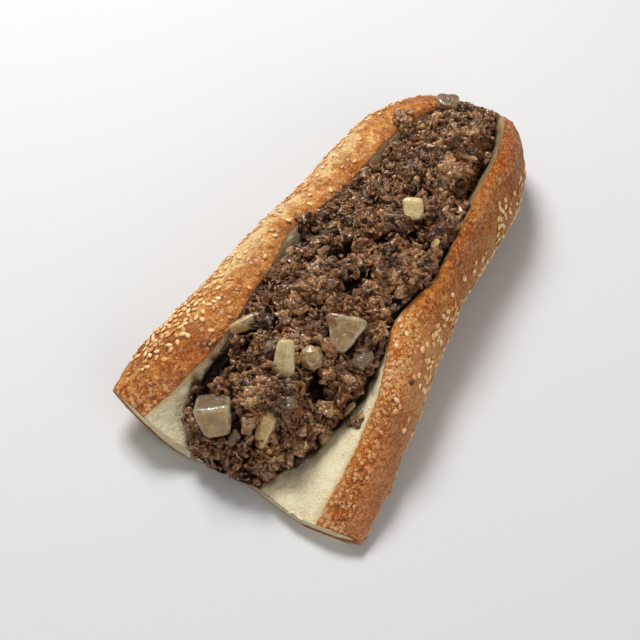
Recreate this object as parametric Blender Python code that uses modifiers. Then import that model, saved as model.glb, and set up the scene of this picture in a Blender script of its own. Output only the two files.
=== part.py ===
"""A long seeded roll, split along its top and opened, filled with chopped steak and pieces of onion.

The roll lies along Y on its own flat base. Its -Y end is a straight cut across the loaf, where the
two halves are pressed apart and nearly flat; its +Y end is the loaf's own closed, rounded nose.
Sizes are in millimetres until a mesh is made, and y runs from the cut to the nose. An empty at
MIDDLE carries every piece, so that the origin is on the surface the roll rests on, under its middle.
"""
import math

import bmesh
import bpy
import numpy as np
from mathutils import Euler, Vector

MM = 0.001
MIDDLE = (1.5, -2.5)      # middle of the roll's outline, which becomes the origin

# ---- the roll -------------------------------------------------------------------------------
CUT_Y = -119.0            # the knife's cut across the loaf
NOSE_Y = 62.0             # where the sides start to close towards the rounded end
TIP_Y = 118.5             # the far end of the loaf
NOSE_POWER = 2.3          # 2 is an ellipse, more is blunter
BELLY_Z = 20.0            # height that the nose closes towards
CRUMB_FLOOR = 7.0         # bread left under the filling
LEFT_FACE, RIGHT_FACE = 0.34, 0.42    # parts of the opening's width that the sloping faces take
FACE_POWER = 1.4          # how hollow the sloping faces are
POCKET_END = (84.0, 109.0)            # where the opening runs out near the nose
RELAX_Y = (-119.0, -60.0)             # from pressed flat to the loaf's own round section
CUT_BEND_Y = (-119.0, -75.0)          # how far back the unevenness of the cut is felt
CUT_LEAN = 0.25           # the cut leans forward by this much for each millimetre of height

# Each curve runs along the loaf: (y, value) at the few places that give it its shape.
LEFT_SIDE_X = ((-119, -61), (-85, -60), (-50, -53), (0, -45), (60, -38), (119, -34))
LEFT_SIDE_Z = ((-119, 17), (-60, 21), (0, 22), (119, 21))
LEFT_RIDGE_X = ((-119, -40), (-80, -26.5), (-35, -24.5), (-10, -26), (20, -17), (60, -12),
                (90, -4), (119, 2))
LEFT_RIDGE_Z = ((-119, 21), (-85, 33), (-50, 39), (0, 42), (60, 44), (119, 44))
LEFT_FOOT_X = ((-119, -24), (-60, -30), (0, -28), (119, -22))
RIGHT_SIDE_X = ((-119, 64), (-80, 62.5), (-40, 58), (10, 52), (60, 52), (119, 50))
RIGHT_SIDE_Z = ((-119, 4), (-90, 9), (-50, 16), (60, 19), (119, 20))
RIGHT_RIDGE_X = ((-119, 44.5), (-90, 47), (-62, 44), (-34, 36.5), (-7, 41.5), (50, 38.5), (119, 34.5))
RIGHT_RIDGE_Z = ((-119, 8), (-95, 20), (-70, 30), (-40, 37), (0, 41), (60, 42.5), (119, 42))
RIGHT_FOOT_X = ((-119, 52), (-60, 46), (0, 40), (119, 38))
MIDDLE_X = ((-119, 1), (62, 6), (90, 11), (119, 19))
# How far back the cut's edge lies across the loaf: (x, distance).
CUT_EDGE = ((-64, 16), (-40, 8), (-26, 5.5), (0, 6.5), (18, 2.5), (35, -2), (64, -0.5))

# How a section's sides curve: shares of the side's width and height, and millimetres for the swells.
RIGHT_REACH, RIGHT_FALL, RIGHT_SWELL = 0.45, 0.10, 1.5     # from the right ridge out, down and up
RIGHT_SHOULDER = 0.62                 # how high up the right side starts to turn down
RIGHT_TUCK, RIGHT_HEEL = 0.40, 0.35   # how the right side turns in under the loaf
LEFT_REACH, LEFT_FALL, LEFT_SWELL = 0.50, 0.12, 2.0        # the same from the left ridge
LEFT_SHOULDER, LEFT_SHOULDER_SWELL = 0.75, 1.0
LEFT_TUCK, LEFT_HEEL = 0.55, 0.40
LEFT_PRESSED = (7.0, 6.0)             # how far the pressed left edge hangs in and down
NOSE_DROP = 0.9                       # below 1, the nose closes sooner in height than in width
THIN_RIM = 0.7                        # the bread's floor is at most this part of its ridges' height
CLOSED_BULGE = 2.0                    # rounding of the loaf's top beyond the opening

ROLL_ROWS, NOSE_ROWS = 30, 14         # sections along the straight stretch and round the nose
CRUST_STEPS, UNDER_STEPS, BASE_STEPS = 8, 4, 4    # points on each outer side, underside and the base
CRUST_TURN = 2 * (CRUST_STEPS + UNDER_STEPS) + BASE_STEPS

# ---- the filling ----------------------------------------------------------------------------
CLEARANCE = 0.45          # between the filling and the bread, so that the two stay separate solids
HEAP_TO = 103.5           # where it runs out over the loaf's far rim
HEAP_COLUMNS = 16
HEAP_EDGE = 1.6           # thickness of the heap where it ends against the bread
HEAP_LEFT = ((-119, 0.27), (-105, 0.11), (-90, 0.05), (-70, 0.03), (-35, 0.02), (-20, 0.07), (-6, 0.06),
             (8, 0.03), (40, 0.03), (54, 0.08), (66, 0.06), (76, 0.035), (86, 0.045), (106, 0.06))
HEAP_RIGHT = ((-119, 0.64), (-105, 0.69), (-95, 0.735), (-85, 0.77), (-76, 0.83), (-68, 0.88), (-50, 0.94),
              (-28, 0.985), (2, 0.985), (20, 0.94), (40, 0.89), (55, 0.83), (68, 0.80), (85, 0.80), (98, 0.83),
              (106, 0.85))
HEAP_CREST = ((-119, 11), (-112, 18), (-104, 27), (-95, 32.5), (-80, 37.5), (-60, 42.5), (-40, 45.5),
              (0, 47), (40, 46.5), (80, 43.5), (95, 40.5), (106, 36))
HEAP_ROUND = 0.8          # how squarely the heap rises from its edges
# Waves of the heap's top: height, length across, length along, phase.
LUMPS = ((2.2, 36.0, 41.0, 0.4), (1.7, -27.0, 31.0, 1.9), (1.0, 20.0, -23.0, 4.2))
SMALL_STEP = 0.002        # step in u that the bread's slope is measured with

# ---- the pieces of onion --------------------------------------------------------------------
# Name, place across and along, height of the middle over the heap, size, narrowing of the near
# end, turn in degrees.
ONIONS = (
    ("onion_block", (-10.8, -105.0), -4.2, (16.5, 14.0, 16.0), 0.68, (65, -10, 31)),
    ("onion_wedge", (5.8, -76.8), 0.8, (7.0, 16.0, 5.0), 1.45, (52, 4, 24)),
    ("onion_corner", (23.6, -55.2), 0.4, (20.0, 16.0, 4.5), 0.25, (34, 2, 14)),
    ("onion_leaf", (-18.6, -64.2), 1.2, (5.0, 17.0, 5.5), 0.7, (8, -30, -40)),
    ("onion_cube", (19.7, 19.4), 1.0, (10.0, 10.0, 8.0), 0.8, (30, 0, 26)),
    ("onion_slip", (10.4, -101.6), 0.6, (11.0, 17.0, 4.5), 0.45, (36, -4, 2)),
    ("onion_glossy", (15.8, -69.6), 1.0, (11.5, 9.5, 7.0), 0.75, (20, 6, 30)),
    ("onion_brown", (33.0, -58.4), 3.0, (9.0, 10.0, 6.0), 0.75, (12, 10, 10)),
    ("onion_end", (3.6, 93.6), 6.4, (11.5, 10.0, 4.0), 0.8, (-6, 4, 24)),
)
ONION_BEVEL = 1.2
POCKET_GAP = 0.35         # between a piece of onion and the heap round it


def along(knots, y):
    """Smooth curve through (y, value) knots: a cubic between neighbours, its slope the mean of theirs."""
    places, values = np.array(knots, dtype=float).T
    slopes = np.gradient(values, places)
    y = np.clip(y, places[0], places[-1])
    left = np.clip(np.searchsorted(places, y, side="right") - 1, 0, len(places) - 2)
    span = places[left + 1] - places[left]
    t = (y - places[left]) / span
    return ((2 * t**3 - 3 * t**2 + 1) * values[left] + (t**3 - 2 * t**2 + t) * span * slopes[left]
            + (3 * t**2 - 2 * t**3) * values[left + 1] + (t**3 - t**2) * span * slopes[left + 1])


def rise(start, end, y):
    """0 before start, 1 after end, and an S-shaped climb between."""
    t = np.clip((y - start) / (end - start), 0, 1)
    return t * t * (3 - 2 * t)


def bezier(ends, steps):
    """Points on cubic Bezier curves, one for each row; ends holds the four control points."""
    a, b, c, d = (np.stack(np.broadcast_arrays(*point), -1)[:, None] for point in ends)
    t = (np.arange(steps) / steps)[None, :, None]
    return (1 - t)**3 * a + 3 * (1 - t)**2 * t * b + 3 * (1 - t) * t**2 * c + t**3 * d


def nose_scale(y):
    """1 along the straight stretch, falling to 0 at the tip on a blunt ellipse."""
    s = np.clip((y - NOSE_Y) / (TIP_Y - NOSE_Y), 0, 1)
    return np.sqrt(1 - s**NOSE_POWER)


def close_nose(x, z, y):
    """Draws a section's points in towards the belly's middle as y nears the tip."""
    scale = nose_scale(y)
    middle = along(MIDDLE_X, y)
    return middle + (x - middle) * scale, BELLY_Z + (z - BELLY_Z) * scale**NOSE_DROP


def bend_cut(x, y, z):
    """Pushes the sections near the cut back or forward, so that the cut is uneven and leans."""
    strength = 1 - rise(*CUT_BEND_Y, y)
    return np.stack([x, y + strength * (along(CUT_EDGE, x) - CUT_LEAN * z), z], -1)


def crust(y):
    """Outer side of each section, from the right ridge under the loaf to the left ridge."""
    pressed = 1 - rise(*RELAX_Y, y)
    right_x, right_z = along(RIGHT_RIDGE_X, y), along(RIGHT_RIDGE_Z, y)
    side_x, side_z = along(RIGHT_SIDE_X, y), along(RIGHT_SIDE_Z, y)
    foot, left_foot = along(RIGHT_FOOT_X, y), along(LEFT_FOOT_X, y)
    width, drop = side_x - right_x, right_z - side_z
    over_z = right_z + RIGHT_FALL * drop + RIGHT_SWELL
    right = bezier(((right_x, right_z), (right_x + RIGHT_REACH * width, over_z),
                    (side_x, side_z + RIGHT_SHOULDER * drop), (side_x, side_z)), CRUST_STEPS)
    right_under = bezier(((side_x, side_z), (side_x, RIGHT_TUCK * side_z),
                          (foot + RIGHT_HEEL * (side_x - foot), 0 * y), (foot, 0 * y)), UNDER_STEPS)
    base = bezier(((foot, 0 * y), (foot + (left_foot - foot) / 3, 0 * y),
                   (left_foot + (foot - left_foot) / 3, 0 * y), (left_foot, 0 * y)), BASE_STEPS)
    left_x, left_z = along(LEFT_RIDGE_X, y), along(LEFT_RIDGE_Z, y)
    out_x, out_z = along(LEFT_SIDE_X, y), along(LEFT_SIDE_Z, y)
    inward, down = LEFT_PRESSED
    tuck_z = out_z - down * pressed - LEFT_TUCK * out_z * (1 - pressed)
    left_under = bezier(((left_foot, 0 * y), (left_foot + LEFT_HEEL * (out_x - left_foot), 0 * y),
                         (out_x + inward * pressed, tuck_z), (out_x, out_z)), UNDER_STEPS)
    width, drop = left_x - out_x, left_z - out_z
    left = bezier(((out_x, out_z), (out_x, out_z + LEFT_SHOULDER * drop + LEFT_SHOULDER_SWELL),
                   (left_x - LEFT_REACH * width, left_z + LEFT_FALL * drop + LEFT_SWELL), (left_x, left_z)),
                  CRUST_STEPS)
    last = np.stack([left_x, left_z], -1)[:, None]
    return np.concatenate([right, right_under, base, left_under, left, last], 1)


def crumb(y, u):
    """Inner side of each section: u runs from 0 at the left ridge to 1 at the right ridge."""
    left_x, left_z = along(LEFT_RIDGE_X, y), along(LEFT_RIDGE_Z, y)
    right_x, right_z = along(RIGHT_RIDGE_X, y), along(RIGHT_RIDGE_Z, y)
    floor = np.minimum(CRUMB_FLOOR, THIN_RIM * np.minimum(left_z, right_z))
    left_fall = (1 - np.clip(u / LEFT_FACE, 0, 1))**FACE_POWER
    right_fall = (1 - np.clip((1 - u) / RIGHT_FACE, 0, 1))**FACE_POWER
    hollow = floor + (left_z - floor) * left_fall + (right_z - floor) * right_fall
    closed = left_z + (right_z - left_z) * u + CLOSED_BULGE * (1 - (2 * u - 1)**2)
    opened = 1 - rise(*POCKET_END, y)
    return left_x + (right_x - left_x) * u, closed + (hollow - closed) * opened


def crumb_surface(y, u):
    """Points of the bread's inner face in the roll's finished shape."""
    x, z = crumb(y, u)
    x, z = close_nose(x, z, y)
    return bend_cut(x, y, z)


def roll_rows():
    """Places of the sections: even along the straight stretch, closing up round the nose."""
    straight = np.linspace(CUT_Y, NOSE_Y, ROLL_ROWS, endpoint=False)
    turn = np.linspace(0, math.pi / 2, NOSE_ROWS + 1)
    return np.concatenate([straight, NOSE_Y + (TIP_Y - NOSE_Y) * np.sin(turn)])


def solid_between(name, under, over, material, collection, carrier):
    """Closed mesh between two grids of points with the same rows and columns: the two surfaces,
    the strips that join their sides, and a strip across each end."""
    rows, columns = under.shape[:2]
    ring = np.concatenate([under, over[:, ::-1]], 1)
    turn = 2 * columns
    row, place = np.meshgrid(np.arange(rows - 1), np.arange(turn), indexing="ij")
    after = (place + 1) % turn
    walls = np.stack([row * turn + place, (row + 1) * turn + place,
                      (row + 1) * turn + after, row * turn + after], -1)
    start = np.arange(columns - 1)
    near_cap = np.stack([start, start + 1, turn - 2 - start, turn - 1 - start], -1)
    far_cap = near_cap[:, ::-1] + (rows - 1) * turn
    faces = np.concatenate([walls.reshape(-1, 4), near_cap, far_cap])
    mesh = bpy.data.meshes.new(name)
    mesh.from_pydata((ring.reshape(-1, 3) * MM).tolist(), [], faces.tolist())
    bm = bmesh.new()
    bm.from_mesh(mesh)
    bmesh.ops.remove_doubles(bm, verts=bm.verts, dist=0.00002)
    bmesh.ops.recalc_face_normals(bm, faces=bm.faces)
    bm.to_mesh(mesh)
    bm.free()
    mesh.shade_smooth()
    mesh.set_sharp_from_angle(angle=math.radians(40))
    mesh.materials.append(material)
    piece = bpy.data.objects.new(name, mesh)
    piece.parent = carrier
    collection.objects.link(piece)
    return piece


def build_roll(material, collection, carrier):
    """The bread: crust outside, crumb inside, closed by the cut at one end and the nose at the other."""
    y = roll_rows()
    rows = y[:, None]
    outer = crust(y)
    x, z = close_nose(outer[..., 0], outer[..., 1], rows)
    outside = bend_cut(x, np.broadcast_to(rows, x.shape), z)
    u = 1 - np.arange(CRUST_TURN + 1) / CRUST_TURN
    inside = crumb_surface(np.broadcast_to(rows, (len(y), len(u))), u[None])
    inside[:, 0] = outside[:, 0]
    inside[:, -1] = outside[:, -1]
    return solid_between("roll", outside, inside, material, collection, carrier)


def heap_lumps(x, y):
    """Unevenness of the heap: a few waves that cross each other."""
    return sum(height * np.sin(2 * math.pi * x / across + phase)
               * np.sin(2 * math.pi * y / length + 2 * phase)
               for height, across, length, phase in LUMPS)


def heap_top(under, y, u_share):
    """Top of the heap over its underside: level between its two edges, raised to the crest between."""
    first, last = under[:, :1], under[:, -1:]
    edge_line = first + (last - first) * u_share[..., None]
    bulge = (1 - (2 * u_share - 1)**2)**HEAP_ROUND
    lift = np.maximum(along(HEAP_CREST, y) - edge_line[..., 2], HEAP_EDGE) * bulge
    top = edge_line.copy()
    top[..., 2] += HEAP_EDGE + lift + heap_lumps(edge_line[..., 0], y) * bulge
    top[..., 1] -= CUT_LEAN * lift * (1 - rise(*CUT_BEND_Y, y))
    return top


def heap_grids():
    """Underside and top of the filling, as two grids of points."""
    rows = roll_rows()
    rows = rows[rows < HEAP_TO]
    y, share = np.meshgrid(rows, np.linspace(0, 1, HEAP_COLUMNS), indexing="ij")
    u = along(HEAP_LEFT, y) + (along(HEAP_RIGHT, y) - along(HEAP_LEFT, y)) * share
    across = crumb_surface(y, u + SMALL_STEP) - crumb_surface(y, u - SMALL_STEP)
    lengthways = crumb_surface(y + SMALL_STEP, u) - crumb_surface(y - SMALL_STEP, u)
    normal = np.cross(across, lengthways)
    normal /= np.linalg.norm(normal, axis=-1, keepdims=True)
    under = crumb_surface(y, u) + CLEARANCE * normal
    return under, heap_top(under, y, share)


def build_filling(material, collection, carrier):
    """The chopped steak as one heap, out to its uneven outline."""
    under, over = heap_grids()
    return solid_between("filling", under, over, material, collection, carrier)


def heap_height(x, y):
    """Height of the heap's top at a place, from the nearest point of its grid."""
    over = heap_grids()[1].reshape(-1, 3)
    nearest = np.argmin((over[:, 0] - x)**2 + (over[:, 1] - y)**2)
    return float(over[nearest, 2])


def onion_block(name, place, size, narrowing, turn, collection, carrier):
    """A cut piece of onion: a box whose -Y end is narrower or wider than the other, with softened edges."""
    mesh = bpy.data.meshes.new(name)
    bm = bmesh.new()
    bmesh.ops.create_cube(bm, size=1.0)
    for corner in bm.verts:
        taper = narrowing if corner.co.y < 0 else 1.0
        corner.co.x *= size[0] * taper * MM
        corner.co.y *= size[1] * MM
        corner.co.z *= size[2] * MM
    bm.to_mesh(mesh)
    bm.free()
    piece = bpy.data.objects.new(name, mesh)
    piece.parent = carrier
    piece.location = Vector(place) * MM
    piece.rotation_euler = Euler([math.radians(angle) for angle in turn])
    softened = piece.modifiers.new("softened edges", "BEVEL")
    softened.width = ONION_BEVEL * MM
    softened.segments = 2
    collection.objects.link(piece)
    return piece


def build_onions(filling, material, collection, cutters, carrier):
    """The pieces of onion, each sunk into a pocket of its own in the heap."""
    for name, (x, y), lift, size, narrowing, turn in ONIONS:
        place = (x, y, heap_height(x, y) + lift)
        piece = onion_block(name, place, size, narrowing, turn, collection, carrier)
        piece.data.materials.append(material)
        grown = [side + 2 * POCKET_GAP for side in size]
        cutter = onion_block(name + "_pocket", place, grown, narrowing, turn, cutters, carrier)
        cutter.hide_render = True
        cutter.display_type = "WIRE"
        pocket = filling.modifiers.new(name, "BOOLEAN")
        pocket.operation = "DIFFERENCE"
        pocket.object = cutter


def food_material(name, colour, roughness):
    """Plain Principled finish in the food's own colour."""
    material = bpy.data.materials.new(name)
    material.use_nodes = True
    shader = material.node_tree.nodes["Principled BSDF"]
    shader.inputs["Base Color"].default_value = (*colour, 1.0)
    shader.inputs["Roughness"].default_value = roughness
    shader.inputs["Metallic"].default_value = 0.0
    material.diffuse_color = (*colour, 1.0)
    return material


def main():
    for old in list(bpy.data.objects):
        bpy.data.objects.remove(old, do_unlink=True)
    parts = bpy.data.collections.new("cheesesteak")
    cutters = bpy.data.collections.new("pockets")
    bpy.context.scene.collection.children.link(parts)
    bpy.context.scene.collection.children.link(cutters)
    crust_brown = food_material("baked crust", (0.47, 0.19, 0.06), 0.5)
    steak_brown = food_material("chopped steak", (0.16, 0.09, 0.06), 0.55)
    onion_green = food_material("soft onion", (0.50, 0.47, 0.24), 0.3)
    carrier = bpy.data.objects.new("middle_of_the_roll", None)
    carrier.location = (-MIDDLE[0] * MM, -MIDDLE[1] * MM, 0)
    parts.objects.link(carrier)
    build_roll(crust_brown, parts, carrier)
    filling = build_filling(steak_brown, parts, carrier)
    build_onions(filling, onion_green, parts, cutters, carrier)


main()
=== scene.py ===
# %% [markdown]
# # Finishing a cheesesteak
#
# The sandwich is a long seeded roll, pressed open and filled with chopped steak and pieces of onion.
# Its plain solids are already made at their real size, in one shared frame. This lesson makes the
# surfaces that are seen: baked crust, torn crumb, crumpled meat, wet onion and sesame seeds.
#
# The frame loads first. Its box is kept now, before anything is added, so that the finished model can
# be measured against it at the end.

import math

import bmesh
import bpy
import numpy as np
from mathutils import Matrix, Vector


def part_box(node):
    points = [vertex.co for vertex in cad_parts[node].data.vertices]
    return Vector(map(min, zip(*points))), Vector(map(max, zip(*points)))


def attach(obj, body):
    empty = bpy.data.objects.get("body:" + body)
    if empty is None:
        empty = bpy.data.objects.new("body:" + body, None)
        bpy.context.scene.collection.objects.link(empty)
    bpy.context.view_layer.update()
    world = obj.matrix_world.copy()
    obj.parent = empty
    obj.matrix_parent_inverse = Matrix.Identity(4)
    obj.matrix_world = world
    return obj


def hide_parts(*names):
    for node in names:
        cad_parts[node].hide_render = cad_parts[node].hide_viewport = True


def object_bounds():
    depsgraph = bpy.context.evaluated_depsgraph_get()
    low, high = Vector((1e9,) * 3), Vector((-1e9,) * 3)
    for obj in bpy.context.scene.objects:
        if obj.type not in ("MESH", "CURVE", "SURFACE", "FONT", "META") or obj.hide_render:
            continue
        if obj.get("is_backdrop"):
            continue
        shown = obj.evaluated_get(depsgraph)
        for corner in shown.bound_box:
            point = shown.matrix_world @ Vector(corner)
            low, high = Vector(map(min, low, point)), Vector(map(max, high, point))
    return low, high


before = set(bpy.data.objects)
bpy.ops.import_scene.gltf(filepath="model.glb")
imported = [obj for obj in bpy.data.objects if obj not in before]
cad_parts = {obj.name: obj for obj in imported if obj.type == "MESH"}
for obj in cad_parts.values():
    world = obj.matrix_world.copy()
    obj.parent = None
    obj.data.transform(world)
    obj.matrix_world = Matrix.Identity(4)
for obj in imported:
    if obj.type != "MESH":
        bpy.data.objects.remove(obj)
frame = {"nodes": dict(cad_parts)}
solids_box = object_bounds()
MM = 0.001
MIDDLE = np.array((1.5, -2.5, 0.0))    # the roll's own drawing has its origin this far from the frame's
print("solids:", ", ".join(frame["nodes"]))

# %% [markdown]
# ## The camera comes first
#
# Several details are placed where the picture shows them, so the camera is needed before the food.
# It stands 50 degrees above the table and looks along the loaf from beyond its cut end, a little to
# the right. It is described by those angles and by a distance, which is easier to correct than a
# matrix, and the same numbers give `seen_at`, which says where a point of the food falls in the
# square picture of 640 pixels.

# %% Camera
AIM = np.array((-0.0025, -0.0285, 0.0150))    # the point of the roll in the middle of the picture
ELEVATION = math.radians(50.0)
AZIMUTH = math.radians(27.3)
DISTANCE = 0.6711
FIELD = math.radians(24.0)
PICTURE = 640.0

BACKWARD = np.array((math.cos(ELEVATION) * math.sin(AZIMUTH),
                     -math.cos(ELEVATION) * math.cos(AZIMUTH), math.sin(ELEVATION)))
RIGHTWARD = np.array((math.cos(AZIMUTH), math.sin(AZIMUTH), 0.0))
UPWARD = np.cross(BACKWARD, RIGHTWARD)
EYE = AIM + DISTANCE * BACKWARD


def add_camera():
    """A camera at EYE that looks against BACKWARD, with the same field both ways."""
    camera = bpy.data.objects.new("camera", bpy.data.cameras.new("camera"))
    camera.data.sensor_fit = "HORIZONTAL"
    camera.data.angle = FIELD
    turn = Matrix((RIGHTWARD, UPWARD, BACKWARD)).transposed()
    camera.matrix_world = Matrix.Translation(Vector(EYE)) @ turn.to_4x4()
    bpy.context.scene.collection.objects.link(camera)
    bpy.context.scene.camera = camera


def seen_at(points):
    """Pixels (across, down) and distance of points given in the drawing's millimetres."""
    away = (points - MIDDLE) * MM - EYE
    depth = -(away @ BACKWARD)
    scale = PICTURE / 2 / math.tan(FIELD / 2) / depth
    across = PICTURE / 2 + (away @ RIGHTWARD) * scale
    down = PICTURE / 2 - (away @ UPWARD) * scale
    return np.stack([across, down], -1), depth


add_camera()
print("camera stands at", EYE.round(3))

# %% [markdown]
# ## A pale floor and soft light
#
# Food is mostly lit through one large, soft window. Here it is a broad area lamp behind the loaf and
# to its left, with pale surroundings that fill the shadows. Colours are shown as they are, without a
# film curve, so a colour that is written down is the colour that is seen.

# %% Floor and light
FLOOR_SIZE = 6.0
FLOOR_TONE = (0.68, 0.68, 0.68, 1.0)
FLOOR_ROUGHNESS = 0.8
WINDOW_FROM = Vector((-0.55, 0.42, 1.0))    # direction that most of the light comes from
WINDOW_AWAY, WINDOW_SIZE, WINDOW_POWER = 1.25, 0.48, 15.8
FILL_FROM = Vector((0.9, -0.5, 0.45))
FILL_AWAY, FILL_SIZE, FILL_POWER = 1.4, 1.1, 5.8
SKY_TONE = (1.0, 0.985, 0.965, 1.0)
SKY_STRENGTH = 0.29


def add_floor():
    """A square floor with its top at the height the roll rests on."""
    half = FLOOR_SIZE / 2
    corners = [(-half, -half, 0), (half, -half, 0), (half, half, 0), (-half, half, 0)]
    mesh = bpy.data.meshes.new("floor")
    mesh.from_pydata(corners, [], [(0, 1, 2, 3)])
    floor = bpy.data.objects.new("floor", mesh)
    paint = bpy.data.materials.new("pale floor")
    paint.use_nodes = True
    surface = paint.node_tree.nodes["Principled BSDF"]
    surface.inputs["Base Color"].default_value = FLOOR_TONE
    surface.inputs["Roughness"].default_value = FLOOR_ROUGHNESS
    mesh.materials.append(paint)
    bpy.context.scene.collection.objects.link(floor)
    floor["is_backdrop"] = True


def add_lamp(name, direction, away, size, power):
    """A square area lamp that faces the food from a direction."""
    lamp = bpy.data.lights.new(name, "AREA")
    lamp.size = size
    lamp.energy = power
    holder = bpy.data.objects.new(name, lamp)
    holder.location = direction.normalized() * away
    holder.rotation_euler = direction.to_track_quat("Z", "Y").to_euler()
    bpy.context.scene.collection.objects.link(holder)


def add_sky():
    """Even pale light from all round."""
    world = bpy.data.worlds.new("pale room")
    world.use_nodes = True
    light = world.node_tree.nodes["Background"]
    light.inputs["Color"].default_value = SKY_TONE
    light.inputs["Strength"].default_value = SKY_STRENGTH
    bpy.context.scene.world = world


add_floor()
add_lamp("window", WINDOW_FROM, WINDOW_AWAY, WINDOW_SIZE, WINDOW_POWER)
add_lamp("fill", FILL_FROM, FILL_AWAY, FILL_SIZE, FILL_POWER)
add_sky()
bpy.context.scene.view_settings.view_transform = "Standard"

# %% [markdown]
# ## Noise for whole arrays at once
#
# Nothing in food is smooth, so each surface is a simple form plus noise. Noise is worked out for a
# whole array of points in one go. `waves` is the plain kind, `clouds` adds finer and finer waves,
# `folds` takes their size without the sign, which gives rounded humps with sharp creases between, as
# on crumpled meat, and `pebbles` measures the way to the nearest of many scattered points.

# %% Noise
SLOPES = np.array([(1, 1, 0), (-1, 1, 0), (1, -1, 0), (-1, -1, 0), (1, 0, 1), (-1, 0, 1),
                   (1, 0, -1), (-1, 0, -1), (0, 1, 1), (0, -1, 1), (0, 1, -1), (0, -1, -1),
                   (1, 1, 0), (-1, 1, 0), (0, -1, 1), (0, -1, -1)], dtype=np.float32)


def scrambled(lattice, seed):
    """A whole number for each lattice point, the same each run: large products, mixed by shifts."""
    x, y, z = (lattice[..., axis].astype(np.uint32) for axis in range(3))
    code = x * np.uint32(374761393) + y * np.uint32(668265263) + z * np.uint32(2246822519)
    code = code + np.uint32(seed * 97 + 13) * np.uint32(3266489917 % 2**31)
    code = (code ^ (code >> np.uint32(13))) * np.uint32(1274126177)
    return code ^ (code >> np.uint32(16))


def waves(points, size, seed=0):
    """Smooth noise from -1 to 1 with humps `size` apart: each lattice corner has a slope, and an
    S-shaped curve blends the slopes of the eight corners round a point."""
    place = (np.asarray(points) / size).astype(np.float32)
    cell = np.floor(place).astype(np.int64)
    inside = (place - cell).astype(np.float32)
    smooth = inside**3 * (inside * (inside * 6 - 15) + 10)
    total = np.zeros(place.shape[:-1], dtype=np.float32)
    for corner in np.ndindex(2, 2, 2):
        step = np.array(corner)
        slope = SLOPES[scrambled(cell + step, seed) & np.uint32(15)]
        weight = np.where(step == 1, smooth, 1 - smooth).prod(-1)
        total += weight * (slope * (inside - step)).sum(-1)
    return total * 1.1


def clouds(points, size, octaves=3, seed=0):
    """Waves plus waves of half the size and half the height, and so on."""
    return sum(waves(points, size / 2**octave, seed + octave) / 2**octave for octave in range(octaves))


def folds(points, size, octaves=2, seed=0):
    """Rounded humps with sharp creases between, from 0 in a crease to about 1."""
    return sum(np.abs(waves(points, size / 2**octave, seed + octave)) / 1.7**octave
               for octave in range(octaves)) * 1.6


def drift(points, size, seed=0):
    """Three waves at once, as a vector, to push points about."""
    return np.stack([waves(points, size, seed + 31 * axis + 7) for axis in range(3)], -1)


def pebbles(points, size, seed=0):
    """Way to the nearest scattered point, as a share of `size`, and that point's own 0 to 1 number."""
    place = (np.asarray(points) / size).astype(np.float32)
    cell = np.floor(place).astype(np.int64)
    nearest = np.full(place.shape[:-1], 9.0, dtype=np.float32)
    owner = np.zeros(place.shape[:-1], dtype=np.float32)
    for neighbour in np.ndindex(3, 3, 3):
        corner = cell + np.array(neighbour) - 1
        code = scrambled(corner, seed)
        jitter = [(code >> np.uint32(shift)) & np.uint32(255) for shift in (0, 8, 16)]
        point = corner + np.stack(jitter, -1) / 255.0
        away = np.sqrt(((point - place)**2).sum(-1)).astype(np.float32)
        closer = away < nearest
        nearest = np.where(closer, away, nearest)
        owner = np.where(closer, (code >> np.uint32(24)) / 255.0, owner)
    return nearest, owner


print("noise runs from", waves(np.random.default_rng(1).random((20000, 3)) * 50, 1.0).min().round(2))

# %% [markdown]
# ## From grids of points to meshes
#
# Every piece here is closed: rings of points one after another, like hoops on a barrel, with a single
# point at each end. A seed, a shred of meat and the whole loaf are all made that way, so one function
# turns such rings into a mesh. It also writes plain numbers onto the points, which the finishes read.

# %% Mesh from rings
def add_piece(name, points, quads, triangles, marks, material, replaced=()):
    """One object from arrays, in the frame's metres, smooth shaded and riding on the one body."""
    mesh = bpy.data.meshes.new(name)
    mesh.vertices.add(len(points))
    mesh.vertices.foreach_set("co", ((points - MIDDLE) * MM).astype(np.float32).ravel())
    corners = np.concatenate([quads.ravel(), triangles.ravel()])
    sizes = np.concatenate([np.full(len(quads), 4), np.full(len(triangles), 3)])
    mesh.loops.add(len(corners))
    mesh.loops.foreach_set("vertex_index", corners.astype(np.int32))
    mesh.polygons.add(len(sizes))
    mesh.polygons.foreach_set("loop_start", (np.cumsum(sizes) - sizes).astype(np.int32))
    mesh.update(calc_edges=True)
    for mark, values in marks.items():
        kind, field = ("FLOAT_VECTOR", "vector") if values.shape[-1:] == (3,) else ("FLOAT", "value")
        written = mesh.attributes.new(mark, kind, "POINT")
        written.data.foreach_set(field, values.astype(np.float32).ravel())
    mesh.materials.append(material)
    mesh.shade_smooth()
    piece = bpy.data.objects.new(name, mesh)
    bpy.context.scene.collection.objects.link(piece)
    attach(piece, "root")
    if replaced:
        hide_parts(*replaced)
    print(f"{name}: {2 * len(quads) + len(triangles)} triangles")
    return piece


def ring_faces(shapes, rows, columns):
    """Faces of many closed shapes: rows of rings, then a first and a last point for each shape."""
    row, column = np.meshgrid(np.arange(rows - 1), np.arange(columns), indexing="ij")
    after = (column + 1) % columns
    quads = np.stack([row * columns + column, row * columns + after,
                      (row + 1) * columns + after, (row + 1) * columns + column], -1).reshape(-1, 4)
    around = np.arange(columns)
    beyond = (around + 1) % columns
    first, last = rows * columns, rows * columns + 1
    start = np.stack([beyond, around, np.full(columns, first)], -1)
    last_ring = (rows - 1) * columns
    end = np.stack([around + last_ring, beyond + last_ring, np.full(columns, last)], -1)
    offset = (np.arange(shapes) * (rows * columns + 2))[:, None, None]
    return (quads + offset).reshape(-1, 4), (np.concatenate([start, end]) + offset).reshape(-1, 3)


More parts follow.
